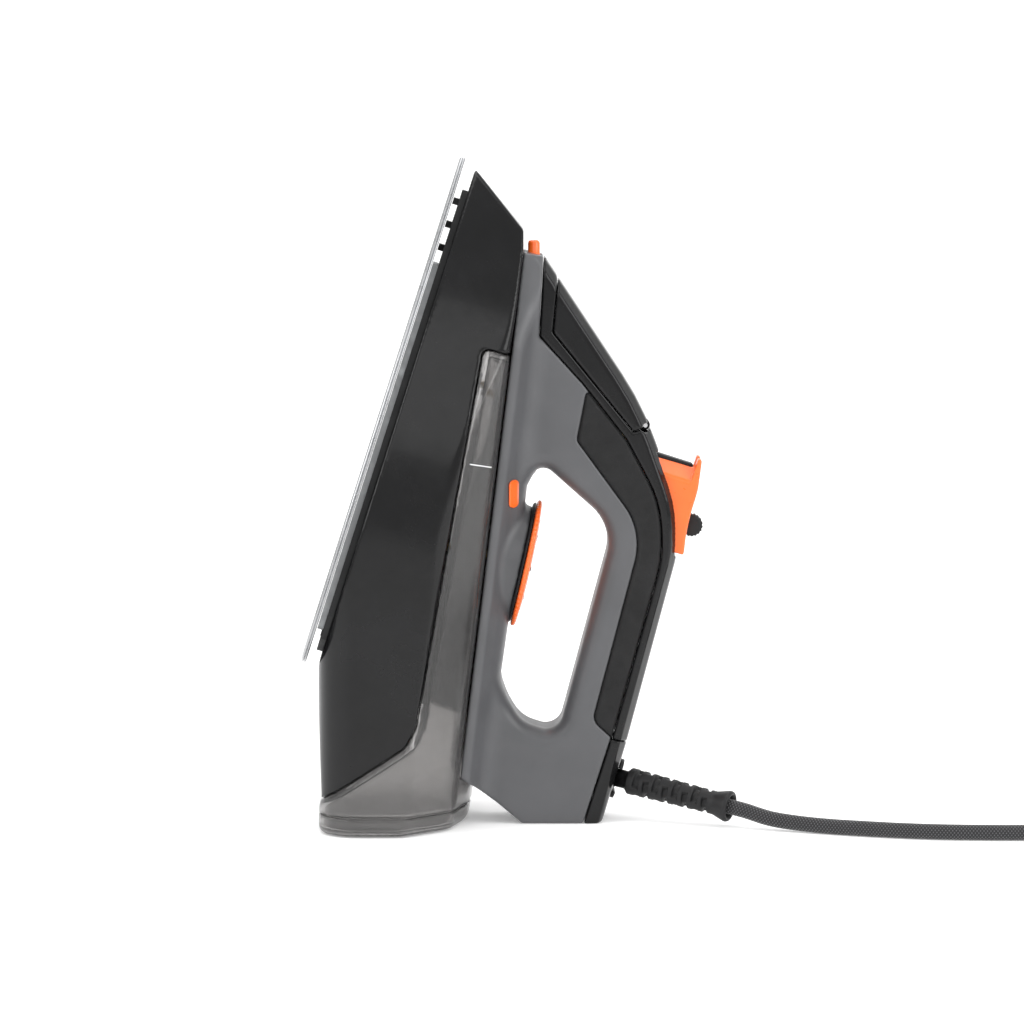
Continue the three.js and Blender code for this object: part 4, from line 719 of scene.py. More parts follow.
def make_soleplate():
    """Sections across the sole: left edge profile up, top, right edge profile down, and the face back."""
    t = np.linspace(0, np.pi / 2, 56)
    a = 1 - (1 - np.linspace(0, 1, 170)[1:]) ** 1.4
    x = np.concatenate([SOLE_WIDEST_X * (1 - np.sqrt(np.cos(t).clip(0))),
                        SOLE_WIDEST_X + (SOLE_LENGTH - SOLE_WIDEST_X) * a])
    w = np.concatenate([SOLE_HALF_WIDTH * np.sqrt(np.sin(t)),
                        SOLE_HALF_WIDTH * (1 - a ** TIP_BLUNT).clip(0) ** TIP_SIDE])
    dx, dw = np.gradient(x), np.gradient(w)
    length = np.hypot(dx, dw)
    nx, ny = -dw / length, dx / length
    nx[0], ny[0], nx[-1], ny[-1] = -1, 0, 1, 0
    d, h = SOLE_EDGE.T
    ex = x[:, None] - d * nx[:, None]
    ey = (w[:, None] - d * ny[:, None]).clip(0)
    ey[[0, -1]] = 0
    ez = np.broadcast_to(h, ex.shape)
    across = np.linspace(1, -1, 92)[1:-1]
    top = np.stack([np.repeat(ex[:, -1:], 6, 1), ey[:, -1:] * np.linspace(1, -1, 8)[1:-1],
                    np.full((len(x), 6), h[-1])], -1)
    fx, fy = np.repeat(ex[:, :1], len(across), 1), -ey[:, :1] * across
    face = np.stack([fx, fy, vents_and_channel(fx, fy)], -1)
    left = np.stack([ex, ey, ez], -1)
    right = (left * (1, -1, 1))[:, ::-1]
    points = np.concatenate([left, top, right, face], 1)
    piece = add_mesh("sole_plate", stand(points.reshape(-1, 3)),
                     grid_faces(len(x), points.shape[1], around=True))
    finished(piece, "iron", SOLE_METAL, ["soleplate"])


make_soleplate()


# ---------------------------------------------------------------- shells
def panel_region(x, z):
    """Negative behind the tank window's edge, on the tank's side."""
    return inside(WINDOW_SIDE, x, z)


def black_body(x, y, z):
    """The body less its hollow, less the tank's window, the saddle and what is under 8 mm."""
    outer = body_form(x, y, z)
    inner = body_form(x, y, z, PANEL_WALL, BODY_OPEN)
    shell = both(cut(outer, inner, 0.8), SEAM / 2 - panel_region(x, z), 1.0)
    shell = both(shell, SEAM / 2 - inside(SADDLE_SIDE, x, z), 0.4)
    return both(shell, 8 - z, 0.8)


def smoked_tank(x, y, z):
    """The body inside the window's edge, hollowed, over the foot's seam."""
    window = panel_region(x, z)
    keep = inside(TANK_KEEP, x, z)
    outer = both(body_form(x, y, z), window + SEAM / 2, 1.2)
    hollow = both(both(body_form(x, y, z, TANK_WALL + 0.3), window + 3, 1.2), keep + TANK_WALL, 1.0)
    tank = cut(outer, hollow, 1.0)
    tank = both(tank, SEAM / 2 - inside(SADDLE_SIDE, x, z), 0.4)
    return both(tank, FOOT_SEAM + SEAM / 2 - foot_height(x, z), 1.0)


def foot_cap(x, y, z):
    """The body from the standing plane up to the foot's seam, hollowed."""
    up = foot_height(x, z)
    outer = both(body_form(x, y, z), -up, 3.0)
    hollow = both(body_form(x, y, z, TANK_WALL), 2.5 - up, 2.0)
    return both(cut(outer, hollow, 1.0), up - FOOT_SEAM + SEAM / 2, 1.0)


def cover_region(x, z):
    """Negative inside the glossy top cover's outline."""
    return inside(COVER_SIDE, x, z)


def rear_region(x, z):
    """Negative behind x 8 and above the rear cover's lower face."""
    return np.maximum(x - 8, REAR_COVER_Z - z)


def console_region(x, y, z):
    """The well that the thumb buttons stand in."""
    return brick(x, y, z, (96.4, -12.4, 120), (139.6, 12.4, 220))


CLEAN_SPOT = (102.5, 69.6)
CLEAN_HALF_LENGTH = 4.2
CLEAN_RADIUS = 2.4


def pill(x, z, grow=0.0):
    """The self-clean button's outline: a short bar with round ends, upright on the standing iron."""
    a, b = x - CLEAN_SPOT[0], z - CLEAN_SPOT[1]
    along = np.clip(a * math.cos(HEEL_TILT) - b * math.sin(HEEL_TILT), -CLEAN_HALF_LENGTH, CLEAN_HALF_LENGTH)
    return np.hypot(a - along * math.cos(HEEL_TILT), b + along * math.sin(HEEL_TILT)) - CLEAN_RADIUS - grow


LENS_BASE = np.array([113, 0, 75.35])
LENS_AIM = np.array([-0.337, 0, 0.941])
NOZZLE_BASE = np.array([205.4, 0, 46.3])
NOZZLE_AIM = np.array([math.cos(HEEL_TILT), 0, -math.sin(HEEL_TILT)])
SWIVEL = np.array([-10.9, 0, 150])


SWIVEL_BORE = 8.6
REAR_SCREW_X = (3.3, -26)


def hinge_bar(x, y, z, half, radius):
    """Distance to a round bar on the lid hinge's line, from -half to half across the iron."""
    return bar(x, y, z, (LID_HINGE[0], -half, LID_HINGE[1]), (LID_HINGE[0], half, LID_HINGE[1]), radius)


def grip_region(x, y, z):
    """The soft grips' place: the grip's outline, outside the handle's core."""
    return np.maximum(inside(GRIP_SIDE, x, z), 15.2 - np.abs(y))


def grey_handle(x, y, z):
    """The handle and saddle, hollowed, less the places of the pieces set into them."""
    form = cut(hand_form(x, y, z), cavity(x, y, z), 0.8)
    form = cut(form, cover_region(x, z) - SEAM, 1.0)
    form = cut(form, rear_region(x, z) - SEAM, 1.0)
    form = cut(form, grip_region(x, y, z) - SEAM / 2, 0.8)
    form = cut(form, console_region(x, y, z), 0.8)
    form = cut(form, np.maximum(pill(x, z, 0.4), 14 - np.abs(y - 30)), 0.8)
    form = cut(form, bar(x, y, z, LENS_BASE - LENS_AIM * 4, LENS_BASE + LENS_AIM * 5, 3.8), 0.6)
    form = cut(form, bar(x, y, z, NOZZLE_BASE - NOZZLE_AIM * 2, NOZZLE_BASE + NOZZLE_AIM * 9, 3.8), 0.6)
    form = cut(form, bar(x, y, z, SWIVEL - (0, 0, 12), SWIVEL + (0, 0, 8), SWIVEL_BORE), 0.8)
    return cut(form, bar(x, y, z, dial_point(-40), dial_point(6), 3.5), 0.6)


def black_cover(x, y, z):
    """The handle inside the cover's outline, less the lid, its hinge and the keys' well."""
    form = cut(both(handle_form(x, y, z), cover_region(x, z), 1.0), cavity(x, y, z), 0.8)
    form = cut(form, inside(LID_SIDE, x, z) - SEAM, 1.0)
    form = cut(form, rear_region(x, z) - SEAM, 1.0)
    form = cut(form, hinge_bar(x, y, z, 20, 2.7), 0.6)
    return cut(form, console_region(x, y, z), 0.8)


def rear_cap(x, y, z):
    """The handle's rear end, with two screw holes and the swivel's bore."""
    form = both(handle_form(x, y, z), rear_region(x, z), 1.0)
    for spot in REAR_SCREW_X:
        form = cut(form, bar(x, y, z, (spot, 0, 149), (spot, 0, 160), 2.8), 0.6)
    return cut(form, bar(x, y, z, SWIVEL - (0, 0, 12), SWIVEL + (0, 0, 9), SWIVEL_BORE), 0.8)


def lid(x, y, z):
    """The handle inside the lid's outline, with a bored knuckle on the hinge's line."""
    form = cut(both(handle_form(x, y, z), inside(LID_SIDE, x, z), 1.0), cavity(x, y, z), 0.8)
    form = cut(form, np.maximum(hinge_bar(x, y, z, 9.8, 2.7), 6.2 - np.abs(y)), 0.5)
    form = either(form, hinge_bar(x, y, z, 6, 2.2), 0.8)
    return cut(form, hinge_bar(x, y, z, 20, 1.2), 0.3)


def grip(side):
    """One soft grip: the handle's skin inside the grip's outline, on one side."""
    def form(x, y, z):
        pad = both(handle_form(x, y, z), inside(GRIP_SIDE, x, z) + SEAM / 2, 1.6)
        return both(pad, 15.4 - side * y, 0.8)
    return form


def closed_form(name, form, low, high, step, body, material, nodes):
    """A formed piece with its faces outwards, on its body, in its finish."""
    piece = formed(name, form, low, high, step)
    mesh = piece.data
    co = np.empty(len(mesh.vertices) * 3)
    mesh.vertices.foreach_get("co", co)
    corner = np.empty(len(mesh.loops), int)
    mesh.loops.foreach_get("vertex_index", corner)
    a, b, c, d = co.reshape(-1, 3)[corner.reshape(-1, 4)].transpose(1, 0, 2)
    if (np.cross(c - a, d - b) * a).sum() < 0:
        mesh.flip_normals()
    mesh.materials.append(material)
    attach(piece, body)
    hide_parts(*nodes)


closed_form("black_body_shell", black_body, (-76, -60, 6), (240, 60, 96), 1.05, "iron", BLACK_GLOSS,
            ["body_shell"])
closed_form("smoked_tank", smoked_tank, (-72, -60, 14), (200, 60, 104), 1.2, "iron", SMOKE,
            ["tank_shell"])
closed_form("foot_cap", foot_cap, (-76, -60, 20), (-36, 60, 104), 0.95, "iron", SMOKE,
            ["heel_cap"])
closed_form("grey_handle", grey_handle, (-48, -40, 36), (214, 40, 160), 0.95, "iron", GREY,
            ["handle_shell"])
closed_form("left_grip", grip(1), (4, 12, 80), (162, 20, 152), 0.8, "iron", RUBBER,
            ["grip_left"])
closed_form("right_grip", grip(-1), (4, -20, 80), (162, -12, 152), 0.8, "iron", RUBBER,
            ["grip_right"])
closed_form("black_top_cover", black_cover, (0, -20, 36), (214, 20, 160), 0.8, "iron", BLACK_GLOSS,
            ["top_cover"])
closed_form("filler_flap", lid, (142, -20, 54), (208, 20, 130), 0.65, "lid", BLACK_GLOSS,
            ["filler_lid"])
closed_form("rear_cap", rear_cap, (-46, -20, 144), (12, 20, 160), 0.6, "iron", BLACK_GLOSS,
            ["rear_cover"])


def inner_well(x, y, z):
    """The moulded well that hangs from the handle into the tank, cut clear of what passes through it."""
    side = inside(rounded([(-1.4, 50, 2), (74, 50, 3), (80, 48.8, 2), (149, 48.8, 2),
                           (150, edge_z(150) - 0.6), (-1.4, edge_z(-1.4) - 0.6)]), x, z)
    form = both(side, np.abs(y) - 22, 3.0)
    form = cut(form, both(side + 2, np.abs(y) - 20, 3.0), 0.8)
    form = cut(form, brick(x, y, z, (0.5, -17, 20), (47.5, 17, 59.5)), 0.6)
    form = cut(form, bar(x, y, z, (141, 0, 20), (141, 0, 90), 4.5), 0.6)
    return cut(form, bar(x, y, z, dial_point(-60), dial_point(-5), 6.5), 0.6)


closed_form("tank_inner_well", inner_well, (-4, -23, 46), (152, 23, 82), 0.85, "iron", INNER_GREY,
            [])


def make_fill_mark():
    """A plain fill line on the tank: a thin strip laid on the body's side, whose y is found by halving."""
    row_ends = np.array([(0.0348, 0.1686), (0.0445, 0.1663)])
    t = np.linspace(0, 1, 40)[:, None]
    line = row_ends[0] + (row_ends[1] - row_ends[0]) * t
    row = np.stack([line[:, 0], 0 * line[:, 0], line[:, 1]], 1) - SOLE_REAR
    x, z = row @ FORWARD * 1000, row @ UPWARD * 1000
    across = np.array([-0.28, -0.2, 0.2, 0.28])
    lean = math.radians(90) - HEEL_TILT
    x, z = x[:, None] + across * math.sin(lean), z[:, None] - across * math.cos(lean)
    low, high = np.full(x.shape, 15.0), np.full(x.shape, 62.0)
    for _ in range(26):
        middle = (low + high) / 2
        within = body_form(x, middle, z) < 0
        low, high = np.where(within, middle, low), np.where(within, high, middle)
    proud = np.array([0.0, 0.09, 0.09, 0.0])
    outer = np.stack([x, low + proud, z], -1)
    inner = np.stack([x, low - 0.12 + 0 * proud, z], -1)[:, ::-1]
    ring = np.concatenate([outer, inner], 1)
    ring = np.concatenate([ring[:1].mean(1, keepdims=True).repeat(8, 1), ring,
                           ring[-1:].mean(1, keepdims=True).repeat(8, 1)])
    piece = add_mesh("fill_line", stand(ring.reshape(-1, 3)), grid_faces(len(ring), 8, around=True))
    finished(piece, "iron", PRINT, [])


make_fill_mark()


# ---------------------------------------------------------------- thumb buttons and steam slider
def console_top(x):
    """Height of the keys' top, falling forward."""
    return 153.9 - 0.182 * (x - 104.5)


BUTTON_SIDE = rounded([
    (98, 145.5), (98, 152.6, 1.6), (104.5, console_top(104.5), 2.5), (142.2, console_top(142.2), 1.2),
    (142.2, 144.8, 0.8), (137.4, 144, 1), (137, 127.5, 0.6),
])


def button_floor(x):
    """Height of the keys' underside, falling forward."""
    return 145.5 - 18 / 39 * (x - 98)


def thumb_button(side):
    """One orange key: its side view, a slanted near corner, and a dished thumb rest on top."""
    def form(x, y, z):
        key = both(inside(BUTTON_SIDE, x, z), np.abs(y - side * 8.15) - 3.85, 1.2)
        slant = (0.72 * (x - 131) + 0.70 * (side * y - 12)) + 0 * z
        key = both(key, np.where(z > 145.2, -1.0, slant), 1.0)
        rest = np.sqrt((x - 121) ** 2 + (z - console_top(121) - 88) ** 2) - 89.2
        key = cut(key, rest + 0 * y, 1.2)
        pocket = bar(x, y, z, (112, side * 8.2, 130), (112, side * 8.2, button_floor(112) + 5), 2.9)
        key = cut(key, pocket, 0.5)
        plunger = bar(x, y, z, (128, side * 7.6, 108), (128, side * 7.6, button_floor(128) + 3), 1.4)
        return either(key, plunger, 0.8)
    return form


for word, side in (("spray", 1), ("steam", -1)):
    low, high = sorted((side * 3.6, side * 12.6))
    closed_form(word + "_key", thumb_button(side), (95, low, 106), (144, high, 156), 0.42, word + "_key",
                ORANGE, [word + "_button"])


def tray_top(x):
    """Height of the tray, under the keys by their travel and a gap."""
    return button_floor(x) - 5.2


RIB_SIDE = rounded([
    (97.2, tray_top(97.2) - 1), (97.2, 150.6, 1), (104, console_top(104) - 3.2, 0.6),
    (105, console_top(105) - 6.6), (128, console_top(128) - 6.6), (129, console_top(129) - 3.2, 0.6),
    (138.6, console_top(138.6) - 3.2, 1.5), (138.6, tray_top(138.6) - 1),
])


def tray(x, y, z):
    """The keys' tray: a slanted plate, the rib between the keys, and the slider's and plungers' holes."""
    plate = both((z - tray_top(x)) * 0.91 + 0 * y, (tray_top(x) - 2 - z) * 0.91, 0.5)
    plate = both(plate, brick(x, y, z, (96.9, -12, 100), (139.1, 12, 150)), 0.6)
    form = either(plate, both(inside(RIB_SIDE, x, z), np.abs(y) - 3.9, 0.8), 0.8)
    form = cut(form, brick(x, y, z, (109.5, -1.6, 100), (123.5, 1.6, 160)), 0.4)
    for side in (-1, 1):
        form = cut(form, bar(x, y, z, (128, side * 7.6, 105), (128, side * 7.6, 140), 1.8), 0.3)
    return form


closed_form("key_tray", tray, (96, -13, 116), (140, 13, 152), 0.5, "iron", BLACK_SATIN,
            ["button_tray"])


def make_slider():
    """A wheel-shaped knob, ribbed across its rim, on a flat stem."""
    knob = np.array([111.5, 0, console_top(111.5) - 0.4])
    profile = [(0, -3.7), (3.6, -3.7), (4.6, -3.45), (5.0, -2.9), (5.0, 0), (5.0, 2.9), (4.6, 3.45),
               (3.6, 3.7), (0, 3.7)]
    piece = lathe("slider_knob", profile, knob, (0, 1, 0), 144,
                  lambda angle, h: np.where(np.abs(h) < 3.3, 0.2 * np.cos(18 * angle), 0))
    finished(piece, "slider", BLACK_SATIN, ["steam_slider"])
    low = tray_top(111.5) - 6
    closed_form("slider_stem", lambda x, y, z: both(np.abs(x - 111.5) - 1.2 + 0 * y,
                both(np.abs(y) - 1.2, np.maximum(low - z, z - knob[2] + 3), 0.4), 0.4),
                (109, -2, low - 1), (114, 2, knob[2] - 1), 0.35, "slider", BLACK_SATIN, [])


make_slider()


# ---------------------------------------------------------------- dial, self-clean key, lens, nozzle
def make_dial():
    """A knurled disc with a stepped face and a thumb notch, over a dark ring."""
    r = DIAL_RADIUS
    profile = [(0, 0), (r - 2, 0), (r - 0.7, 0.1), (r - 0.15, 0.5), (r, 1.0), (r - 0.1, 1.6), (r - 0.7, 2.1),
               (r - 1.8, 2.35), (r - 2.6, 2.4), (r - 3.0, 2.1), (r - 3.6, 2.1), (r - 4.1, 2.5),
               (r * 0.7, 3.05), (r * 0.45, 3.3), (8, 3.38), (7.6, 3.1), (7.0, 3.1), (6.6, 3.36),
               (3, 3.4), (0, 3.4)]

    def knurl(angle, h):
        grip_band = np.clip(1 - np.abs(h - 1.1) / 1.1, 0, 1)
        return -0.45 * grip_band * (0.5 + 0.5 * np.cos(72 * angle)) * (np.abs(h) < 2.3)

    piece = lathe("temperature_dial", profile, dial_point(0), DIAL_AIM, 720, knurl)
    finished(piece, "dial", ORANGE, ["thermostat_dial"])
    marks = []
    aim, one, two = frame_of(DIAL_AIM)
    base = dial_point(3.0)
    for k in range(7):
        turn = math.radians(-135 + 45 * k)
        u, v = math.cos(turn), math.sin(turn)
        along, cross = u * one + v * two, -v * one + u * two
        half, near, far = (0.9, 13, 21) if k == 3 else (0.35, 17.5, 21)
        top = base + aim * (0.34 if k == 3 else 0.22)
        corners = ((near, -half), (far, -half), (far, half), (near, half))
        ring = [top + along * a + cross * b for a, b in corners]
        marks.append(np.array(ring + [p - aim * 0.6 for p in ring]))
    faces = np.array([(0, 1, 2, 3), (7, 6, 5, 4), (0, 4, 5, 1), (1, 5, 6, 2), (2, 6, 7, 3), (3, 7, 4, 0)])
    all_faces = np.concatenate([faces + 8 * k for k in range(len(marks))])
    piece = add_mesh("dial_marks", stand(np.concatenate(marks)), all_faces, smooth=False)
    finished(piece, "dial", BLACK_SATIN, [])
    ring = [(3.5, -1.6), (27.1, -1.6), (27.9, -1.2), (28.1, -0.7), (27.8, -0.35), (26, -0.3), (3.5, -0.3)]
    piece = lathe("dial_ring", ring + ring[:1], dial_point(0), DIAL_AIM, 160)
    finished(piece, "iron", BLACK_SATIN, ["dial_bezel"])


make_dial()


def clean_key(x, y, z):
    """The self-clean key: a pill with a domed face that stands just proud of the saddle."""
    face = saddle_form(x, y, z) - 1.1
    cap = both(both(np.broadcast_to(pill(x, z), face.shape), face, 1.4), 18 - y, 0.4)
    return either(cap, bar(x, y, z, (105.5, 12, 69), (105.5, 19, 69), 1.2), 0.4)


closed_form("self_clean_key", clean_key, (94, 11, 62), (111, 40, 78), 0.38, "clean_key", ORANGE,
            ["self_clean_button"])

finished(lathe("pilot_lamp_lens", [(0, -3.6), (4.4, -3.6), (4.6, -3.4), (4.6, -2.8), (4.4, -2.6), (3.4, -2.6),
                                   (3.4, 0.2), (3.1, 0.55), (2.4, 0.9), (1.4, 1.12), (0, 1.2)],
               LENS_BASE, LENS_AIM, 64), "iron", LENS, ["pilot_lens"])

finished(lathe("spray_tip", [(0, 0), (3.1, 0), (3.4, 0.3), (3.4, 1.4), (3.2, 1.7), (2.75, 2), (2.7, 7.6),
                             (2.5, 8.3), (2.1, 8.8), (1.5, 9), (0.75, 9), (0.6, 8.8), (0.45, 7.2), (0, 7.1)],
               NOZZLE_BASE, NOZZLE_AIM, 72), "iron", ORANGE, ["spray_nozzle"])


# ---------------------------------------------------------------- rear: swivel, strain relief, screws
SLEEVE_RISE = math.radians(6.2)
SLEEVE_SWING = math.radians(24)      # to the iron's left at rest
SLEEVE_AIM = np.array([
    math.sin(SLEEVE_RISE),
    math.cos(SLEEVE_RISE) * math.sin(SLEEVE_SWING),
    math.cos(SLEEVE_RISE) * math.cos(SLEEVE_SWING),
])


def socket(x, y, z):
    """The swivel's socket: a flanged cup with a slot that the strain relief swings in."""
    form = either(bar(x, y, z, SWIVEL - (0, 0, 9), SWIVEL + (0, 0, 6), 8.3),
                  bar(x, y, z, SWIVEL + (0, 0, 4.8), SWIVEL + (0, 0, 6.5), 9.3), 0.4)
    barrel = bar(x, y, z, SWIVEL - (4.4, 0, 0), SWIVEL + (4.4, 0, 0), 6.8)
    form = cut(form, barrel, 0.5)
    form = cut(form, brick(x, y, z, SWIVEL + (-5.4, -12, 1.5), SWIVEL + (5.4, 12, 20)), 0.6)
    return cut(form, bar(x, y, z, SWIVEL - (0, 0, 30), SWIVEL, 4.2), 0.5)


closed_form("swivel_cup", socket, (-21, -10, 140), (-1, 10, 157), 0.4, "iron", BLACK_SATIN,
            ["swivel_socket"])


def make_strain_relief():
    """A tapered sleeve: ladder slots cut by turns from top and sides, then an open bell over the cord."""
    heights = np.concatenate([np.arange(11, 54.6, 0.28), [55.2, 56, 57, 58, 59, 60, 60.8, 61.6]])
    radius = np.interp(heights, [11, 13, 50, 55.5, 58.5, 61.6], [4.2, 6.2, 5.5, 5.4, 6.3, 7.2])
    outside = [(0, 5.6), (4.2, 5.6)] + list(zip(radius, heights))
    bell = [(7.2, 62.3), (6.9, 63.0), (6.4, 63.4), (5.9, 63.4), (5.5, 63.0), (5.1, 62.2), (4.6, 60.9),
            (4.2, 60.4), (0, 60.4)]

    def ladder(angle, h):
        step = (h - 15) / 4.9
        phase = step - np.floor(step)
        row = np.floor(step) % 2
        slot_shape = np.clip((0.31 - np.abs(phase - 0.5)) / 0.07, 0, 1)
        reach = np.cos(angle + np.pi / 4 + row * np.pi / 2) ** 2
        across = np.clip((reach - 0.12) / 0.16, 0, 1)
        inside_run = (h > 14.8) & (h < 53.6)
        return np.where(inside_run, -1.9 * slot_shape * across, 0)

    piece = lathe("strain_relief_sleeve", outside + bell, SWIVEL, SLEEVE_AIM, 120, ladder)
    finished(piece, "swivel", BLACK_SATIN, ["strain_relief"])
    drum = [(0, -4), (5.9, -4), (6.4, -3.5), (6.4, 3.5), (5.9, 4), (0, 4)]
    finished(lathe("swivel_drum", drum, SWIVEL, (1, 0, 0), 72), "swivel", BLACK_SATIN, [])
    return piece


sleeve = make_strain_relief()


def make_screw(name, x, node):
    """A pan-head screw whose cross recess is pressed into the head: depth falls with the nearer arm."""
    r = np.linspace(0, 2.45, 26)
    profile = [(0, 146), (1.4, 146), (1.4, 152.9), (2.3, 153), (2.5, 153.2), (2.5, 153.9)]
    profile += [(q, 153.9 + 0.5 * math.sqrt(max(0, 1 - (q / 2.5) ** 2))) for q in r[::-1]]
    points = turned_points(profile, (x, 0, 0), (0, 0, 1), 72)
    a, b = np.abs(points[:, 0] - x), np.abs(points[:, 1])
    arm = np.minimum(np.maximum(a / 1.7, b / 0.34), np.maximum(b / 1.7, a / 0.34))
    points[:, 2] -= 0.9 * np.clip((1.15 - arm) / 0.3, 0, 1) * (points[:, 2] > 153.95)
    piece = add_mesh(name, stand(points), grid_faces(len(profile), 72, around=True))
    finished(piece, "iron", STEEL, [node])


make_screw("rear_screw_upper", REAR_SCREW_X[0], "rear_screw_1")
make_screw("rear_screw_lower", REAR_SCREW_X[1], "rear_screw_2")

# ---------------------------------------------------------------- the lead, its coil and its plug
CORD_Z = 0.0036
COIL_CENTRE = np.array([0.346, -0.0185])
COIL_WIDE, COIL_NARROW, LAYER = 0.0429, 0.0357, 0.0071
COIL_EXIT = math.radians(20)
PLUG_BACK = 0.041


def coil_path():
    """The wound lead: seven passes of under a turn each, from slot to slot, out and in, layer by layer."""
    slots = np.array([(COIL_WIDE, 0), (COIL_NARROW, 0), (COIL_NARROW, 1), (COIL_WIDE, 1), (COIL_WIDE, 2),
                      (COIL_NARROW, 2), (COIL_NARROW, 3), (COIL_WIDE, 3)])
    end = 360 * 6 + 110
    turn = np.linspace(0, end, 1400)
    moves = (turn[:, None] - (np.arange(1, 8) * 315 - 20)) / 40
    eased = np.clip(moves, 0, 1)
    eased = eased ** 3 * (10 - 15 * eased + 6 * eased ** 2)
    steps = np.diff(slots, axis=0)
    state = slots[0] + eased @ steps
    angle = np.radians(turn - 90)
    return np.stack([COIL_CENTRE[0] + state[:, 0] * np.cos(angle),
                     COIL_CENTRE[1] + state[:, 0] * np.sin(angle), CORD_Z + state[:, 1] * LAYER], 1)


def make_lead():
    """The cord from the bell to the plug on one centreline, with its plug, pins and tie."""
    aim = SLEEVE_AIM[0] * FORWARD + SLEEVE_AIM[1] * LEFT + SLEEVE_AIM[2] * UPWARD
    start = stand(SWIVEL) + aim * 0.0605
    run = np.array([(0.171, -0.0336, 0.0053), (0.183, -0.0389, 0.0041), (0.197, -0.0448, CORD_Z),
                    (0.212, -0.0506, CORD_Z), (0.229, -0.056, CORD_Z), (0.248, -0.0598, CORD_Z),
                    (0.270, -0.0614, CORD_Z), (0.294, -0.0614, CORD_Z), (0.320, -0.0614, CORD_Z)])
    coil = coil_path()
    outward = np.array([math.cos(COIL_EXIT), math.sin(COIL_EXIT), 0])
    along = np.array([-math.sin(COIL_EXIT), math.cos(COIL_EXIT), 0])
    leave = coil[-1]
    back = np.array([*COIL_CENTRE, 0.0184]) + outward * COIL_WIDE + along * PLUG_BACK
    drop = np.linspace(0, 1, 9)[1:, None]
    tail = leave + (back - leave) * drop
    tail[:, 2] = leave[2] + (back[2] - leave[2]) * (drop ** 2 * (3 - 2 * drop))[:, 0]
    tail[-1] = back + along * 0.003
    lead_in = np.concatenate([[start, start + aim * 0.010], run])
    path = smooth_path(np.concatenate([lead_in, coil[14::14], tail]), 0.0018)
    cord = tube("mains_lead", path, CORD_RADIUS / 1000, 20)
    finished(cord, None, BRAID, ["power_cord", "cord_coil", "cord_tail"])
    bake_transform(cord)

    profile = [(0, -0.4), (4.6, -0.4), (5.2, 0), (5.4, 1), (5.5, 2.2), (4.9, 2.6), (4.9, 3.4), (5.7, 3.8),
               (5.9, 5), (5.3, 5.4), (5.3, 6.2), (6.1, 6.6), (6.5, 8.4), (8.2, 11), (11.4, 13.4),
               (14.6, 15.2), (16.8, 17), (18, 19.2), (18.4, 21.4), (18.4, 24), (17.9, 24.4),
               (17.9, 25.2), (18.4, 25.6), (18.4, 31.8), (18.1, 33.2), (17.3, 34), (14.5, 34),
               (14.1, 33.5), (13.6, 33.5), (13.2, 34), (0, 34)]
    profile = np.array(profile) / 1000
    angle = np.linspace(0, 2 * np.pi, 144, endpoint=False)
    grip_dents = 0.0011 * np.clip(np.cos(2 * angle), 0, 1) ** 2
    up = np.array([0, 0, 1.0])
    radius = profile[:, :1] - grip_dents * ((profile[:, 1:] > 0.012) & (profile[:, 1:] < 0.024))
    radius = radius.clip(0)
    points = (back + profile[:, 1, None, None] * along + (radius * np.cos(angle))[..., None] * outward
              + (radius * np.sin(angle))[..., None] * up)
    plug = add_mesh("mains_plug", points.reshape(-1, 3), grid_faces(len(profile), 144, around=True))
    finished(plug, "iron", BLACK_SATIN, ["plug_body"])
    for number, side in ((1, -1), (2, 1)):
        pin = np.array([(0, 26), (2.4, 26), (2.4, 44), (2.38, 44.1), (2.4, 44.2), (2.4, 51.6), (2.1, 52.5),
                        (1.2, 53), (0, 53)]) / 1000
        ring = np.linspace(0, 2 * np.pi, 40, endpoint=False)
        spot = back + outward * side * 0.0095
        points = (spot + pin[:, 1, None, None] * along + (pin[:, :1] * np.cos(ring))[..., None] * outward
                  + (pin[:, :1] * np.sin(ring))[..., None] * up)
        piece = add_mesh(f"mains_pin_{number}", points.reshape(-1, 3), grid_faces(len(pin), 40, around=True))
        finished(piece, "iron", STEEL, [f"plug_pin_{number}"])

    away = np.array([math.cos(math.radians(150)), math.sin(math.radians(150)), 0])
    beside = np.array([-away[1], away[0], 0])
    band = even(np.array([(0.0303, 0, 0.0006), (0.0303, 0, 0.0272), (0.0318, 0, 0.0292), (0.0452, 0, 0.0292),
                          (0.0470, 0, 0.0272), (0.0470, 0, 0.0006)]), 0.0012)
    flow = path_frames(band, (0, 1, 0))[1]
    half = np.array([-1, -0.92, 0.92, 1, 1, 0.92, -0.92, -1]) * 0.006
    thick = np.array([0.3, 0.55, 0.55, 0.3, -0.3, -0.55, -0.55, -0.3]) * 0.001
    points = band[:, None] + flow[:, None] * thick[None, :, None]
    points = points[..., :1] * away + half[None, :, None] * beside + points[..., 2:] * up
    points = points + np.array([*COIL_CENTRE, 0])
    points = np.concatenate([points[:1].mean(1, keepdims=True).repeat(8, 1), points,
                             points[-1:].mean(1, keepdims=True).repeat(8, 1)])
    tie = add_mesh("lead_tie", points.reshape(-1, 3), grid_faces(len(points), 8, around=True))
    finished(tie, "iron", RUBBER, ["cord_tie"])


make_lead()

# ---------------------------------------------------------------- finishes of the inner pieces
FINISHES = {
    "sole_metal": SOLE_METAL, "cast_metal": CAST, "bright_steel": STEEL, "brass": BRASS,
    "black_gloss": BLACK_GLOSS, "black_satin": BLACK_SATIN, "grey_shell": GREY, "orange_plastic": ORANGE,
    "smoked_clear": SMOKE, "soft_grip": RUBBER, "ceramic": CERAMIC, "braided_textile": BRAID,
}


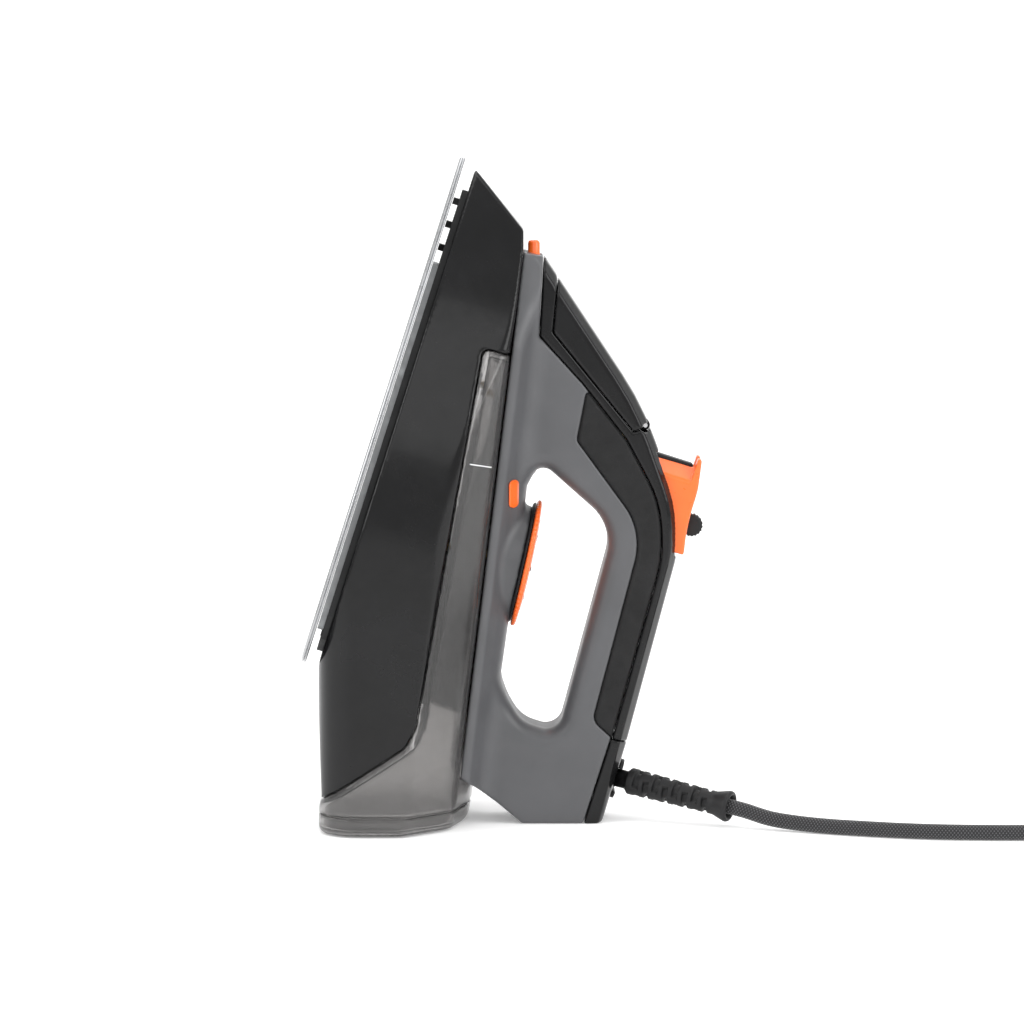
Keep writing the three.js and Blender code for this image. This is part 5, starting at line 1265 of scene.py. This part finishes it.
def finish_inner_pieces():
    """Each carried-over piece takes the finish of its material slot in the record."""
    for entry in record["subparts"]:
        node = frame["nodes"][entry["node"]]
        if node.hide_render:
            continue
        for place in node.material_slots:
            place.link = "OBJECT"
            place.material = FINISHES[entry["material_slot"]]


finish_inner_pieces()


# ---------------------------------------------------------------- stage
def make_stage():
    """A pale floor that runs up out of sight, and soft boxes left, right and above."""
    white, shader, nodes, links = finish_of("pale_floor", (0.94, 0.94, 0.94), 0.6)
    place = coordinates(nodes, links)
    links.new(ramp(nodes, links, noise(nodes, links, place, 3), (0.93, 0.93, 0.93), (0.95, 0.95, 0.95)),
              shader.inputs["Base Color"])
    shader.inputs["Emission Color"].default_value = (1, 1, 1, 1)
    shader.inputs["Emission Strength"].default_value = 0.22
    run = np.array([(-3.5, 0), (1.6, 0), (2.0, 0.1), (2.3, 0.4), (2.4, 0.9), (2.4, 3.2)])
    across = np.linspace(-4.5, 4.5, 3)
    points = np.stack([np.repeat(across, len(run)), np.tile(run[:, 0], 3), np.tile(run[:, 1], 3)], 1)
    floor = add_mesh("floor", points, grid_faces(3, len(run))[:, ::-1])
    floor.data.materials.append(white)
    world = bpy.data.worlds.new("studio")
    world.use_nodes = True
    world.node_tree.nodes["Background"].inputs["Color"].default_value = (1, 1, 1, 1)
    world.node_tree.nodes["Background"].inputs["Strength"].default_value = 0.78
    bpy.context.scene.world = world
    bpy.context.scene.view_settings.view_transform = "Standard"
    for name, spot, size, power in (
        ("left_box", (-1.3, -0.9, 0.9), 1.0, 11), ("right_box", (1.4, -0.8, 0.8), 1.0, 12),
        ("top_box", (0.0, 0.1, 1.7), 1.4, 15), ("front_box", (0.1, -2.2, 1.3), 1.2, 7),
    ):
        data = bpy.data.lights.new(name, "AREA")
        data.size, data.energy = size, power
        lamp = bpy.data.objects.new(name, data)
        bpy.context.scene.collection.objects.link(lamp)
        lamp.location = spot
        aim = np.array([0.05, 0, 0.13]) - np.array(spot)
        tip = math.atan2(math.hypot(aim[0], aim[1]), -aim[2])
        lamp.rotation_euler = (tip, 0, math.atan2(aim[0], -aim[1]) + math.pi)


make_stage()
